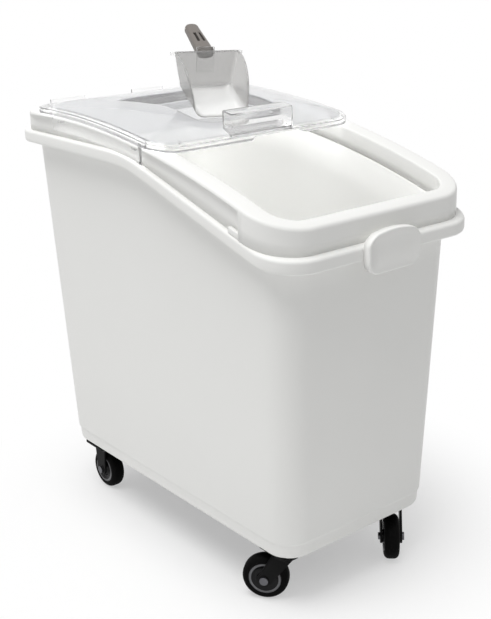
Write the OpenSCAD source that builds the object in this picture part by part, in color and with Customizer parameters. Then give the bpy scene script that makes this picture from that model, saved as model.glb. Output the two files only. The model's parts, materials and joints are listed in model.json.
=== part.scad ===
// Rolling flour bin: tapered tub on four casters, clear lid sliding on arched rails, scoop in the lid.
// Millimetres, +Z up, floor at z = 0, low front end towards -Y.

/* [Tub] */
// Length of the flange round the tub, front to back
flange_len = 745; // [700:1:800]
// Width of the flange
flange_wid = 409; // [390:1:440]
// Corner radius of the flange in plan
flange_r = 66; // [56:1:76]
// Height of the flange lip
flange_h = 21; // [15:1:26]
// Thickness of the flange lip
flange_t = 4; // [3:0.5:6]
// Height of the flange top along the level rear part
seam_rear_z = 699; // [690:1:701]
// Fall of the flange per millimetre along its sloping part
seam_slope = 0.3; // [0.27:0.01:0.31]
// Distance from the rear end to where the flange starts to fall
seam_knee_in = 366.5; // [350:0.5:392]
// Distance from the front end to where the flange levels out again
seam_toe_in = 42.5; // [30:0.5:70]
// Fall that is taken back past the toe, per millimetre
seam_toe_slope = 0.2; // [0.1:0.01:0.25]
// Length over which each bend of the flange is blended
seam_blend = 26; // [10:1:60]
// Thickness of the tub wall
tub_wall = 3.5; // [2.5:0.5:5]
// Thickness of the tub floor
tub_floor = 6; // [5:0.5:10]
// Gap between the flange edge and the tub wall, at the height of the rear flange
tub_inset = 25; // [22:0.5:27]
// Draft of the tub sides, in degrees
tub_draft_side = 1.75; // [1:0.05:2.2]
// Draft of the tub ends, in degrees
tub_draft_end = 2.5; // [1.5:0.05:3]
// Corner radius of the tub wall at the top
tub_r = 46; // [40:1:52]
// Height of the tub's underside above the floor
base_z = 94.4; // [92:0.2:98]
// Height of the straight band round the base
band_h = 27.5; // [20:0.5:40]
// Step in from the tapered wall to the base band
band_step = 1.6; // [0.5:0.1:3]
// Height of the tub wall inside the rim frame
upstand_h = 20; // [18:0.5:22]

/* [Rim frame] */
// Radius of the rails' arc, seen from the side
rail_r = 1700; // [1600:10:1900]
// Distance of the rails' highest point from the rear end
rail_apex_in = 157.5; // [145:0.5:175]
// Height of the rails' highest point over the level rear flange
rail_rise = 36; // [34:0.5:46]
// Step in from the flange edge to the rim frame
rim_step = 1.5; // [0.5:0.1:2]
// Gap between the rim frame's inner wall and the tub wall
rim_fit = 0.4; // [0.2:0.1:1]
// Thickness of the flat strip
strip_t = 3.5; // [3:0.5:5]
// Thickness of the rim frame's walls
rim_wall = 3; // [2:0.25:4]
// Height of the rim frame's inner wall
inner_wall_h = 32; // [30:0.5:34]
// Depth of the rail grooves in the sides
groove_d = 7; // [6:0.5:8]
// Height of the strip's edge over the rail grooves
rail_lip_h = 6; // [4:0.5:8]
// Distance of the rail grooves from the front end
groove_front_in = 94.5; // [85:0.5:102]
// Distance of the rail grooves from the rear end
groove_rear_in = 82.5; // [72:0.5:100]
// Length of the stop foot in the groove's front end
foot_len = 24; // [12:1:30]
// Height of the stop foot
foot_h = 9; // [5:0.5:12]

/* [Label plate] */
// Width of the blank label plate
plate_wid = 106; // [80:1:130]
// Height of the blank label plate
plate_h = 66; // [50:1:70]
// How far the plate stands out from the flange
plate_proud = 12.5; // [8:0.5:18]
// Corner radius of the plate
plate_r = 12; // [6:1:20]
// Drop of the plate's middle below the front flange's top
plate_drop = 8.5; // [4:0.5:14]
// Width of the border round the blank field
plate_border = 5; // [3:0.5:8]
// Depth of the blank field
plate_field_d = 0.8; // [0.4:0.1:2]

/* [Sliding lid] */
// Thickness of the lid's clear plastic
lid_t = 2.5; // [2:0.1:3]
// Running gap between the lid and the rails
lid_gap = 0.8; // [0.6:0.1:1.2]
// Length of the lid
lid_len = 391; // [386:1:396]
// Distance of the open lid's rear edge from the rear end
lid_rear_in = 76.5; // [66:0.5:90]
// Corner radius of the lid in plan
lid_r = 50; // [42:1:56]
// Height of the lid's edge wall above the rails
shoulder_h = 10; // [8:0.5:12]
// Height of the crowned top's middle above the rails
crown_h = 28; // [25:0.5:31]
// Distance from the edge over which the top rises to its crown
crown_run = 150; // [130:1:160]
// Distance of the side skirts from the lid's front edge
skirt_front_in = 47; // [42:1:56]
// Distance of the side skirts from the lid's rear edge
skirt_rear_in = 81; // [70:1:100]
// How far the lid's edge wall stands out past the skirts
lid_bead = 0.6; // [0.3:0.1:1]
// Depth of the side skirts below the rail
skirt_h = 24; // [18:0.5:26]
// Thickness of the runner ribs that ride on the rails
runner_t = 2.5; // [2:0.1:4]
// Distance of the runner ribs inside the rails' edge
runner_in = 8; // [6:0.5:14]
// Distance of each hook from its end of the skirt
hook_in = 16; // [12:0.5:24]
// Length of the hooks
hook_len = 11; // [6:0.5:20]
// Thickness of the hooks
hook_t = 2.5; // [1.5:0.1:4]
// Gap between the hooks and the bottom of the rail grooves
hook_gap = 2; // [1:0.25:3]
// Width of the pull ridge
pull_wid = 128; // [90:1:150]
// Depth of the pull ridge, front to back
pull_d = 25; // [20:0.5:27]
// Height of the pull ridge above the rails
pull_top = 45; // [38:0.5:52]
// Distance of the pull ridge behind the lid's front edge
pull_in = 3; // [2.8:0.1:4]
// Corner radius of the pull ridge in plan
pull_r = 4; // [3.2:0.1:8]
// Left end of the finger notch under the front edge
notch_left_x = -24; // [-30:1:10]
// Right end of the finger notch under the front edge
notch_right_x = 92; // [70:1:100]
// Height of the finger notch
notch_d = 6; // [4:0.5:8]

/* [Scoop pocket] */
// Height of the pocket's floor above the rails
pocket_up = 11; // [8:0.5:14]
// Width of the pocket's front part
pocket_wid = 176; // [170:1:184]
// Distance of the pocket behind the lid's front edge
pocket_in = 47; // [42:0.5:52]
// Length of the pocket
pocket_len = 184; // [176:1:200]
// Width of the pocket's rear end
pocket_rear_wid = 250; // [220:1:260]
// Distance of the pocket's waist from its front
pocket_waist_in = 93; // [80:1:105]
// Width of the pocket's waist
pocket_waist_wid = 168; // [160:1:169]
// Corner radius of the pocket's front
pocket_r = 30; // [20:1:40]

/* [Rear cover] */
// Distance of the fixed rear cover's front edge from the rear end
cover_front_in = 348.5; // [330:0.5:365]
// Thickness of the rear cover
cover_t = 2.5; // [2:0.1:3]
// Drop of the rear cover's top below the rails
cover_drop = 1; // [0.8:0.1:2]
// Gap round the rear cover
cover_gap = 0.5; // [0.3:0.1:1]
// Width of the ledge under the rear cover
ledge_wid = 7; // [5:0.5:10]
// Thickness of that ledge
ledge_t = 3; // [2:0.5:5]
// Inner end of each rear tab
tab_in_x = 52; // [40:1:70]
// Width of each rear tab
tab_wid = 72; // [40:1:80]
// Height of the tabs' upstanding lip
tab_h = 10; // [6:0.5:14]
// Length of the tabs over the cover's rear edge
tab_root = 8; // [6:0.5:12]
// Distance of the tabs' upstanding lip from the rim's rear edge
tab_edge = 4; // [2:0.5:8]

/* [Scoop] */
// Width of the scoop's bowl at the floor
scoop_wid = 94; // [88:1:104]
// Width of the scoop's bowl at the top of its rear wall
scoop_top_wid = 114; // [106:1:122]
// Depth of the scoop, from its rear wall to its lip
scoop_d = 84; // [76:1:90]
// Height of the scoop's rear wall above its lip
scoop_h = 89; // [82:1:98]
// Rise of the scoop's floor from its lip to its rear wall
scoop_rise = 28; // [16:1:30]
// Thickness of the scoop's walls
scoop_t = 2.4; // [1.8:0.1:3]
// Radius along the scoop's floor
scoop_r = 18; // [12:1:22]
// Depth of the scoop's sides at the top
scoop_top_d = 6; // [4:0.5:10]
// How far the mouth's cut edge bulges from a straight line
mouth_bulge = 25; // [16:0.5:26]
// Distance of the scoop's middle from the pocket's front
scoop_in = 88; // [84:0.5:96]
// Turn of the scoop towards the left, in degrees
scoop_turn = 18; // [10:0.5:24]
// Gap between the scoop's lip and the pocket
scoop_gap = 0.3; // [0.2:0.1:0.6]
// Length of the small ears on the rear wall
ear_len = 6; // [3:0.5:9]
// Height of the ears
ear_h = 5; // [3:0.5:8]
// Drop of the ears' top below the top of the rear wall
ear_drop = 0.5; // [0.3:0.1:2]
// Width of the boss that carries the handle
boss_wid = 31; // [28:0.5:36]
// Height of the boss
boss_h = 42; // [34:1:46]
// Height of the boss's top over the rear wall
boss_up = 6; // [2:0.5:10]
// Thickness of the boss
boss_t = 5; // [4:0.5:8]

/* [Scoop handle] */
// Length of the grip
grip_len = 92; // [80:1:120]
// Width of the grip
grip_wid = 28; // [26:0.5:34]
// Thickness of the grip
grip_t = 19; // [16:0.5:25]
// Rise of the grip from the scoop's level, in degrees
grip_rise = 17; // [8:1:26]
// Gap between the grip and the boss
grip_gap = 0.1; // [0.05:0.05:0.3]
// Distance of the slots from the boss
slot_in = 30; // [20:1:36]
// Length of the slots in the grip
slot_len = 26; // [16:1:34]
// Width of each slot
slot_wid = 5; // [3:0.5:6]
// Depth of each slot
slot_d = 6; // [3:0.5:8]

/* [Casters] */
// Radius of the wheels
wheel_r = 38; // [35:0.5:39]
// Width of the tyres
tyre_wid = 26; // [22:0.5:26]
// Thickness of the tyres
tyre_t = 11; // [7:0.5:13]
// Width of the hubs at the axle
hub_wid = 29; // [27:0.5:29]
// Radius of the hub's boss
hub_boss_r = 12; // [10:0.5:14]
// Thickness of the hub's outer ring
hub_ring_t = 4; // [3:0.5:6]
// Step of the hub's outer ring inside the tyre's sides
hub_ring_in = 1; // [0.5:0.1:2]
// Depth of the hub's dished sides
hub_dish = 4; // [2:0.5:6]
// Radius of the tyre's edges
tyre_edge_r = 5; // [3:0.5:6]
// Radius of the axles
axle_r = 4; // [3:0.25:5]
// Running clearance of wheels and swivels, on the radius
run_gap = 0.05; // [0.03:0.01:0.08]
// Clear width between the fork's legs
fork_gap = 30; // [29.6:0.1:32]
// Thickness of the fork's legs
fork_t = 3.5; // [2.5:0.25:4.5]
// Radius of the fork's legs round the axle
fork_eye_r = 12; // [10:0.5:14]
// Trail of the swivel casters
trail = 32; // [28:0.5:34]
// Radius of the swivel head
head_r = 24; // [22:0.5:26]
// Thickness of the fork's crown
crown_t = 5; // [4:0.5:5.5]
// Radius of the kingpin
kingpin_r = 6; // [5:0.25:8]
// Gap between the swivel head's faces
swivel_gap = 0.3; // [0.2:0.05:0.5]
// Side of the square mounting plate
mount_side = 64; // [58:1:70]
// Thickness of the mounting plate
mount_t = 3; // [2:0.25:4]
// Corner radius of the mounting plate
mount_r = 8; // [4:1:12]
// Pitch of the mounting screws
screw_pitch = 46; // [40:1:48]
// Radius of the mounting screws
screw_r = 2.75; // [2:0.25:3]
// Radius of the screw heads
screw_head_r = 5; // [4:0.25:6]
// Depth of the screws in the tub floor
screw_bite = 3.5; // [2:0.25:4]
// Distance of the swivels from the base's side
caster_front_side = 42; // [40:0.5:52]
// Distance of the fixed casters from the base's side
caster_rear_side = 37; // [36:0.5:52]
// Distance of the swivels from the base's front end
caster_front_in = 51; // [46:0.5:64]
// Distance of the fixed casters from the base's rear end
caster_rear_in = 71; // [46:0.5:84]
// Side to which the front left wheel trails at rest, in degrees from the rear
heading_left = 39; // [0:1:360]
// Side to which the front right wheel trails at rest, in degrees from the rear
heading_right = 138; // [0:1:360]

/* [Hidden] */
$fn = 64;
arc_fn = 720;
sheet_fn = 240;
hull_fn = 32;
eps = 0.01;
far = 2000;
seam_steps = 60;

// The plate stands out in front, so the model moves back by half of that to stay centred.
centre_y = plate_proud / 2;
front_y = -flange_len / 2;
rear_y = flange_len / 2;
seam_knee_y = rear_y - seam_knee_in;
seam_toe_y = front_y + seam_toe_in;
rail_apex_y = rear_y - rail_apex_in;
rail_apex_z = seam_rear_z + rail_rise;
groove_front_y = front_y + groove_front_in;
groove_rear_y = rear_y - groove_rear_in;
rim_wid = flange_wid - 2 * rim_step;
rim_len = flange_len - 2 * rim_step;
rim_r = flange_r - rim_step;
// The opening clears the tub wall where the tub is narrowest inside the rim, at the low front.
open_in = tub_wall + rim_fit + rim_wall;
open_wid = flange_wid - 2 * (draft_in(seam_z(front_y), tub_draft_side) + open_in);
open_len = flange_len - 2 * (draft_in(seam_z(front_y), tub_draft_end) + open_in);
open_r = tub_r - open_in;
skirt_gap = lid_gap;
lid_wid = rim_wid + 2 * (skirt_gap + lid_t + lid_bead);
lid_rear_y = rear_y - lid_rear_in;
lid_front_y = lid_rear_y - lid_len;
lid_mid_y = (lid_rear_y + lid_front_y) / 2;
crown_steps = 6;
crown_spread = 1.7;
crown_power = 3;
crown_min_r = 14;
skirt_front_y = lid_front_y + skirt_front_in;
skirt_rear_y = lid_rear_y - skirt_rear_in;
pull_front_y = lid_front_y + pull_in;
pocket_front_y = lid_front_y + pocket_in;
cover_front_y = rear_y - cover_front_in;
plate_z = seam_z(front_y) - plate_drop;
scoop_y = pocket_front_y + scoop_in;
// The scoop leans with the lid's slope at its place.
scoop_lean = asin((rail_apex_y - scoop_y) / (rail_r + pocket_up));
base_half_wid = flange_wid / 2 - draft_in(base_z, tub_draft_side);
base_half_len = flange_len / 2 - draft_in(base_z, tub_draft_end);
wheel_z = wheel_r;
mount_z = base_z - mount_t;
race_h = 6;
crown_top_z = mount_z - race_h - swivel_gap;
crown_z = crown_top_z - crown_t;
pin_head_out = 3.5;
pin_head_r = kingpin_r + pin_head_out;
pin_head_t = 3.5;
axle_half = fork_gap / 2 + fork_t;
axle_head_out = 3;
axle_head_r = axle_r + axle_head_out;
axle_head_t = 3.5;

white = [0.93, 0.93, 0.91];
clear = [0.82, 0.86, 0.88, 0.5];
taupe = [0.58, 0.55, 0.52];
black = [0.08, 0.08, 0.085];
grey = [0.3, 0.3, 0.31];
steel = [0.75, 0.76, 0.78];

// Smooth ramp: zero well before d = 0, equal to d well after it.
function ramp(d, blend) = (d + sqrt(d * d + blend * blend)) / 2;

// Height of the flange top at y.
function seam_z(y) = seam_rear_z - seam_slope * ramp(seam_knee_y - y, seam_blend)
    + seam_toe_slope * ramp(seam_toe_y - y, seam_blend);

// Distance of the tub wall inside the flange edge at z, for one draft angle.
function draft_in(z, draft) = tub_inset + (seam_rear_z - z) * tan(draft);

module centred() {
    translate([0, centre_y, 0]) children();
}

// Rounded rectangle, centred.
module plan(wid, len, r) {
    square([wid - 2 * r, len], center = true);
    square([wid, len - 2 * r], center = true);
    for (x = [-1, 1], y = [-1, 1])
        translate([x * (wid / 2 - r), y * (len / 2 - r)]) circle(r);
}

// Tall rounded block from z0 to z1.
module plan_block(wid, len, r, z0 = base_z, z1 = rail_apex_z + crown_h + pull_top) {
    translate([0, 0, z0]) linear_extrude(z1 - z0) plan(wid, len, r);
}

// Extrudes a side view, drawn as [y, z], across the width wid.
module across(wid, x = 0) {
    translate([x - wid / 2, 0, 0]) rotate([90, 0, 90]) linear_extrude(wid) children();
}

// Side view of everything under the rail arc raised by up.
module rail_disc(up, fn = arc_fn) {
    translate([rail_apex_y, rail_apex_z - rail_r]) circle(rail_r + up, $fn = fn);
}

// Side view of the band between two offsets from the rail arc, from y0 to y1.
module rail_band(lo, hi, y0, y1, fn = arc_fn) {
    intersection() {
        difference() {
            rail_disc(hi, fn);
            rail_disc(lo, fn);
        }
        translate([y0, base_z]) square([y1 - y0, far / 2]);
    }
}

// Solid under the rail arc raised by up, above the floor.
module under_rail(up, wid = flange_wid * 2) {
    across(wid) intersection() {
        rail_disc(up);
        translate([-flange_len, base_z]) square([2 * flange_len, far / 2]);
    }
}

// Side view between two heights over the flange line.
module seam_area(lo, hi) {
    reach = flange_len * 1.1;
    ends = [for (i = [0:seam_steps]) -reach / 2 + i * reach / seam_steps];
    polygon(concat([for (y = ends) [y, seam_z(y) + lo]],
                   [for (i = [seam_steps:-1:0]) [ends[i], seam_z(ends[i]) + hi]]));
}

// Tapered rounded block between two heights, grown by grow.
module tub_form(z0, z1, grow = 0) {
    hull() for (z = [z0, z1]) {
        w = flange_wid - 2 * draft_in(z, tub_draft_side) + 2 * grow;
        l = flange_len - 2 * draft_in(z, tub_draft_end) + 2 * grow;
        r = tub_r + grow;
        for (x = [-1, 1], y = [-1, 1])
            translate([x * (w / 2 - r), y * (l / 2 - r), z]) cylinder(r = r, h = eps, $fn = hull_fn);
    }
}

module tub_shell() {
    band_top = base_z + band_h;
    intersection() {
        tub_form(band_top, rail_apex_z);
        across(2 * flange_wid) seam_area(-far / 3, upstand_h);
    }
    band_w = flange_wid - 2 * draft_in(band_top, tub_draft_side) - 2 * band_step;
    band_l = flange_len - 2 * draft_in(band_top, tub_draft_end) - 2 * band_step;
    plan_block(band_w, band_l, tub_r - band_step, base_z, band_top + eps);
    difference() {
        intersection() {
            plan_block(flange_wid, flange_len, flange_r);
            across(2 * flange_wid) seam_area(-flange_h, 0);
        }
        intersection() {
            plan_block(flange_wid - 2 * flange_t, flange_len - 2 * flange_t, flange_r - flange_t);
            across(2 * flange_wid) seam_area(-flange_h - 1, -flange_t);
        }
    }
}

module tub() {
    color(white) centred() difference() {
        tub_shell();
        tub_form(base_z + tub_floor, rail_apex_z + 1, -tub_wall);
        for (c = caster_spots(), s = screw_spots())
            translate([c[0] + s[0], c[1] + s[1], base_z - 1]) cylinder(r = screw_r, h = screw_bite + 1);
    }
}

// Closed side of the rim: inner opening, channel for the tub wall, rail grooves.
module rim_cuts() {
    plan_block(open_wid, open_len, open_r);
    intersection() {
        plan_block(open_wid + 2 * rim_wall, open_len + 2 * rim_wall, open_r + rim_wall);
        under_rail(-inner_wall_h);
    }
    intersection() {
        difference() {
            plan_block(rim_wid - 2 * (groove_d + rim_wall), rim_len - 2 * rim_wall, rim_r - rim_wall);
            plan_block(open_wid + 2 * rim_wall, open_len + 2 * rim_wall, open_r + rim_wall);
        }
        under_rail(-strip_t);
    }
    for (x = [-1, 1])
        across(groove_d * 2, x * rim_wid / 2) difference() {
            rail_band(-far / 8, -rail_lip_h, groove_front_y, groove_rear_y);
            translate([groove_front_y, 0]) intersection() {
                square([foot_len, far / 2]);
                translate([-groove_front_y, 0]) seam_area(-far / 3, foot_h);
            }
        }
}

// Ledge that carries the rear cover along the sides and the rear.
module cover_ledge() {
    intersection() {
        difference() {
            plan_block(open_wid + eps, open_len + eps, open_r);
            plan_block(open_wid - 2 * ledge_wid, open_len - 2 * ledge_wid, open_r - ledge_wid);
        }
        across(open_wid * 2)
            rail_band(-cover_drop - cover_t - ledge_t, -cover_drop - cover_t, cover_front_y, flange_len);
    }
}

module rim_frame() {
    color(white) centred() {
        difference() {
            intersection() {
                plan_block(rim_wid, rim_len, rim_r);
                under_rail(0);
                across(2 * flange_wid) seam_area(0, far / 3);
            }
            rim_cuts();
        }
        cover_ledge();
    }
}

module label_plate() {
    color(white) centred() translate([0, front_y, plate_z]) rotate([90, 0, 0]) difference() {
        linear_extrude(plate_proud) plan(plate_wid, plate_h, plate_r);
        translate([0, 0, plate_proud - plate_field_d]) linear_extrude(plate_field_d + 1)
            plan(plate_wid - 2 * plate_border, plate_h - 2 * plate_border, plate_r - plate_border);
    }
}

module rear_cover() {
    inset = 2 * cover_gap;
    tab_y0 = open_len / 2 - tab_root;
    tab_y1 = rim_len / 2 - tab_edge;
    color(clear) centred() {
        intersection() {
            plan_block(open_wid - inset, open_len - inset, open_r - cover_gap);
            across(2 * open_wid) rail_band(-cover_drop - cover_t, -cover_drop, cover_front_y, flange_len);
        }
        for (x = [-1, 1]) {
            mid_x = x * (tab_in_x + tab_wid / 2);
            across(tab_wid, mid_x) rail_band(0, cover_t, tab_y0, tab_y1);
            across(tab_wid, mid_x) rail_band(-cover_drop - eps, eps, tab_y0, open_len / 2 - cover_gap);
            across(tab_wid, mid_x) rail_band(0, tab_h, tab_y1 - cover_t, tab_y1);
        }
    }
}

// Height of the lid's crowned top over the rails, at a distance in from its edge.
function crown_up(edge_in) =
    shoulder_h + (crown_h - shoulder_h) * (1 - pow(1 - edge_in / crown_run, crown_power));

// Thin sheet of the lid's plan, drawn in, at an offset from the rail arc.
module lid_sheet(up, edge_in) {
    r = max(lid_r - edge_in, crown_min_r);
    intersection() {
        translate([0, lid_mid_y, 0])
            plan_block(lid_wid - 2 * edge_in, lid_len - 2 * edge_in, r, base_z, rail_apex_z + far / 8,
                       $fn = hull_fn);
        across(2 * lid_wid) rail_band(up - 1, up, -flange_len, flange_len, sheet_fn);
    }
}

// Upright edge and crowned top, drawn in by the plastic's thickness for the inside.
module crown_form(inset) {
    hull() {
        lid_sheet(-lid_t - inset, inset);
        for (i = [0:crown_steps]) {
            edge_in = crown_run * pow(i / crown_steps, crown_spread);
            lid_sheet(crown_up(edge_in) - inset, edge_in + inset);
        }
    }
}

module pull_form(inset) {
    intersection() {
        translate([0, pull_front_y + pull_d / 2, 0])
            plan_block(pull_wid - 2 * inset, pull_d - 2 * inset, pull_r - inset, base_z, rail_apex_z + far / 8);
        under_rail(pull_top - inset);
    }
}

// Pocket for the scoop: a rounded front, a waist, and a flared rear, with its floor along the rails.
module pocket_form(grow) {
    front_len = pocket_waist_in + pocket_r;
    waist_x = pocket_waist_wid / 2 + grow;
    rear_x = pocket_rear_wid / 2 + grow;
    difference() {
        translate([0, pocket_front_y, base_z]) linear_extrude(far / 2) {
            translate([0, front_len / 2])
                plan(pocket_wid + 2 * grow, front_len + 2 * grow, pocket_r + grow);
            polygon([[-waist_x, pocket_waist_in], [waist_x, pocket_waist_in],
                     [rear_x, pocket_len + grow], [-rear_x, pocket_len + grow]]);
        }
        under_rail(pocket_up - grow);
    }
}

module lid_form(inset) {
    difference() {
        union() {
            crown_form(inset);
            pull_form(inset);
        }
        pocket_form(inset);
    }
}

// Side skirt outside the rail, its two hooks in the groove, and the rib that rides on the rail.
module lid_skirt(x) {
    edge = rim_wid / 2 + skirt_gap;
    across(lid_t, x * (edge + lid_t / 2)) rail_band(-skirt_h, shoulder_h / 2, skirt_front_y, skirt_rear_y);
    hook_inner = edge - skirt_gap - groove_d + hook_gap;
    hook_outer = edge + lid_t / 2;
    hook_top = -rail_lip_h - lid_gap;
    for (y = [skirt_front_y + hook_in, skirt_rear_y - hook_in - hook_len])
        across(hook_outer - hook_inner, x * (hook_inner + hook_outer) / 2)
            rail_band(hook_top - hook_t, hook_top, y, y + hook_len);
    runner_x = rim_wid / 2 - runner_in;
    across(runner_t, x * runner_x)
        rail_band(lid_gap, crown_up(lid_wid / 2 - runner_x) - lid_t / 2, skirt_front_y, skirt_rear_y);
}

module lid_notch() {
    mid_x = (notch_left_x + notch_right_x) / 2;
    across(notch_right_x - notch_left_x, mid_x)
        rail_band(0, lid_gap + notch_d, lid_front_y - notch_d, lid_front_y + pull_in + lid_t + 1);
}

module sliding_lid() {
    color(clear) centred() {
        difference() {
            lid_form(0);
            under_rail(lid_gap);
            lid_form(lid_t);
            lid_notch();
        }
        for (x = [-1, 1]) lid_skirt(x);
    }
}

// Moves the scoop's own frame, rear wall at y = 0 and lip at z = 0, into its pocket.
module in_pocket() {
    centred() translate([0, rail_apex_y, rail_apex_z - rail_r]) rotate([scoop_lean, 0, 0])
        translate([0, 0, rail_r + pocket_up + scoop_gap]) rotate([0, 0, -scoop_turn])
            translate([0, scoop_d / 2, 0]) children();
}

// Bowl with a floor that rises to the rear, drawn in by inset, and run on by extra at its mouth and top.
module bowl_form(inset, extra) {
    r = scoop_r - inset;
    fall = extra * scoop_rise / (scoop_d - scoop_r);
    hull() {
        for (x = [-1, 1]) translate([x * (scoop_wid / 2 - scoop_r), 0, 0]) {
            translate([0, -scoop_d - extra, scoop_r - fall]) rotate([90, 0, 0])
                cylinder(r = r, h = eps, $fn = hull_fn);
            translate([0, -scoop_r, scoop_rise + scoop_r]) sphere(r, $fn = hull_fn);
        }
        translate([-scoop_top_wid / 2 + inset, -scoop_d - extra, scoop_h - 1])
            cube([scoop_top_wid - 2 * inset, scoop_d + extra - inset, 1 + extra]);
    }
}

// Side view of what the mouth's bulging cut leaves.
module mouth_side() {
    run = scoop_d - scoop_top_d;
    chord = sqrt(scoop_h * scoop_h + run * run);
    r = (chord * chord / 4 + mouth_bulge * mouth_bulge) / (2 * mouth_bulge);
    back = r - mouth_bulge;
    mid = [-(scoop_d + scoop_top_d) / 2, scoop_h / 2];
    intersection() {
        translate([mid[0] + back * scoop_h / chord, mid[1] - back * run / chord]) circle(r, $fn = 180);
        translate([-2 * scoop_d, -scoop_r]) square([3 * scoop_d, scoop_h + scoop_r]);
    }
}

module scoop_bowl() {
    color(clear) in_pocket() {
        intersection() {
            difference() {
                bowl_form(0, 1);
                bowl_form(scoop_t, 2);
            }
            across(scoop_top_wid + 2) mouth_side();
        }
        ear_x = scoop_top_wid / 2 + ear_len / 2 - 1;
        for (x = [-1, 1])
            translate([x * ear_x, -scoop_top_d / 2, scoop_h - ear_drop - ear_h / 2])
                cube([ear_len + 2, scoop_top_d - scoop_t, ear_h], center = true);
        translate([-boss_wid / 2, -scoop_t / 2, scoop_h + boss_up - boss_h])
            cube([boss_wid, boss_t + scoop_t / 2, boss_h]);
    }
}

module grip_form() {
    hull() {
        for (x = [-1, 1], y = [grip_t / 2, grip_len - grip_t / 2])
            translate([x * (grip_wid - grip_t) / 2, y, 0]) sphere(d = grip_t, $fn = hull_fn);
    }
}

module scoop_handle() {
    slot_x = slot_wid * 0.9;
    color(taupe) in_pocket() translate([0, boss_t + grip_gap, scoop_h + boss_up - grip_t / 2]) difference() {
        rotate([grip_rise, 0, 0]) translate([0, -grip_t / 2, 0]) difference() {
            grip_form();
            for (x = [-1, 1])
                translate([x * slot_x - slot_wid / 2, slot_in, grip_t / 2 - slot_d])
                    cube([slot_wid, slot_len, slot_d + 1]);
        }
        translate([-grip_wid, -grip_len, -far / 8]) cube([2 * grip_wid, grip_len, far / 4]);
    }
}

// Middles of the four mounting plates: front left, front right, rear left, rear right.
function caster_spots() =
    let (fx = base_half_wid - caster_front_side, fy = base_half_len - caster_front_in,
         rx = base_half_wid - caster_rear_side, ry = base_half_len - caster_rear_in)
    [[-fx, -fy], [fx, -fy], [-rx, ry], [rx, ry]];

function screw_spots() = [for (x = [-1, 1], y = [-1, 1]) [x * screw_pitch / 2, y * screw_pitch / 2]];

// Own frame of a caster: mounting plate's middle above the origin, at floor level.
module at_caster(i) {
    spot = caster_spots()[i];
    centred() translate([spot[0], spot[1], 0]) children();
}

// Own frame of a wheel: axle along X through the origin; a swivel's wheel trails behind its kingpin.
module at_wheel(i) {
    heading = i == 0 ? heading_left : heading_right;
    at_caster(i) rotate([0, 0, i < 2 ? heading : 0]) translate([0, i < 2 ? trail : 0, wheel_z]) children();
}

module mount_plate() {
    difference() {
        translate([0, 0, mount_z]) linear_extrude(mount_t) plan(mount_side, mount_side, mount_r);
        for (s = screw_spots())
            translate([s[0], s[1], mount_z - 1]) cylinder(r = screw_r + run_gap, h = mount_t + 2);
    }
}

module swivel_mount(i) {
    color(black) at_caster(i) {
        mount_plate();
        translate([0, 0, mount_z - race_h]) cylinder(r = head_r - 1, h = race_h + eps);
        translate([0, 0, crown_z - swivel_gap - eps]) cylinder(r = kingpin_r, h = mount_z - crown_z);
        translate([0, 0, crown_z - swivel_gap - pin_head_t]) cylinder(r = pin_head_r, h = pin_head_t);
    }
}

module screws(i) {
    color(steel) at_caster(i) for (s = screw_spots()) translate([s[0], s[1], 0]) {
        translate([0, 0, mount_z - screw_r]) cylinder(r = screw_head_r, h = screw_r);
        translate([0, 0, mount_z - eps]) cylinder(r = screw_r, h = mount_t + screw_bite);
    }
}

// Both legs of a fork in the wheel's frame, up to the height top, where they are foot wide and lie back.
module fork_legs(top, foot, back) {
    for (x = [-1, 1])
        translate([x * (fork_gap + fork_t) / 2, 0, 0]) difference() {
            across(fork_t) hull() {
                circle(fork_eye_r, $fn = hull_fn);
                translate([back - foot / 2, top - 1]) square([foot, 1]);
            }
            rotate([0, 90, 0]) cylinder(r = axle_r, h = fork_t * 2, center = true);
        }
}

module swivel_fork(i) {
    color(black) difference() {
        union() {
            at_wheel(i) fork_legs(crown_top_z - wheel_z, head_r * 1.5, -trail);
            at_caster(i) translate([0, 0, crown_z]) cylinder(r = head_r, h = crown_t);
        }
        at_caster(i) translate([0, 0, crown_z - far / 50]) cylinder(r = kingpin_r + run_gap, h = far / 40);
        at_caster(i) translate([0, 0, crown_z - far / 50]) cylinder(r = pin_head_r + swivel_gap, h = far / 50);
    }
}

module fixed_fork(i) {
    color(black) {
        at_caster(i) mount_plate();
        at_wheel(i) fork_legs(mount_z - wheel_z + eps, head_r * 1.4, 0);
        at_caster(i) translate([0, 0, crown_z + crown_t / 2])
            linear_extrude(mount_z - crown_z - crown_t / 2 + eps)
                square([fork_gap + 1, head_r * 1.6], center = true);
    }
}

module axle(i) {
    color(steel) at_wheel(i) rotate([0, 90, 0]) {
        cylinder(r = axle_r, h = 2 * axle_half, center = true);
        translate([0, 0, axle_half - eps]) cylinder(r = axle_head_r, h = axle_head_t, $fn = 6);
        translate([0, 0, -axle_half - axle_head_t + eps]) cylinder(r = axle_head_r, h = axle_head_t);
    }
}

module hub(i) {
    seat_r = wheel_r - tyre_t;
    color(grey) at_wheel(i) rotate([0, 90, 0]) rotate_extrude() {
        translate([axle_r + run_gap, -hub_wid / 2]) square([hub_boss_r - axle_r - run_gap, hub_wid]);
        translate([hub_boss_r - 1, -tyre_wid / 2 + hub_dish])
            square([seat_r - hub_boss_r - hub_ring_t / 2, tyre_wid - 2 * hub_dish]);
        translate([seat_r - hub_ring_t, -tyre_wid / 2 + hub_ring_in])
            square([hub_ring_t, tyre_wid - 2 * hub_ring_in]);
    }
}

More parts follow.
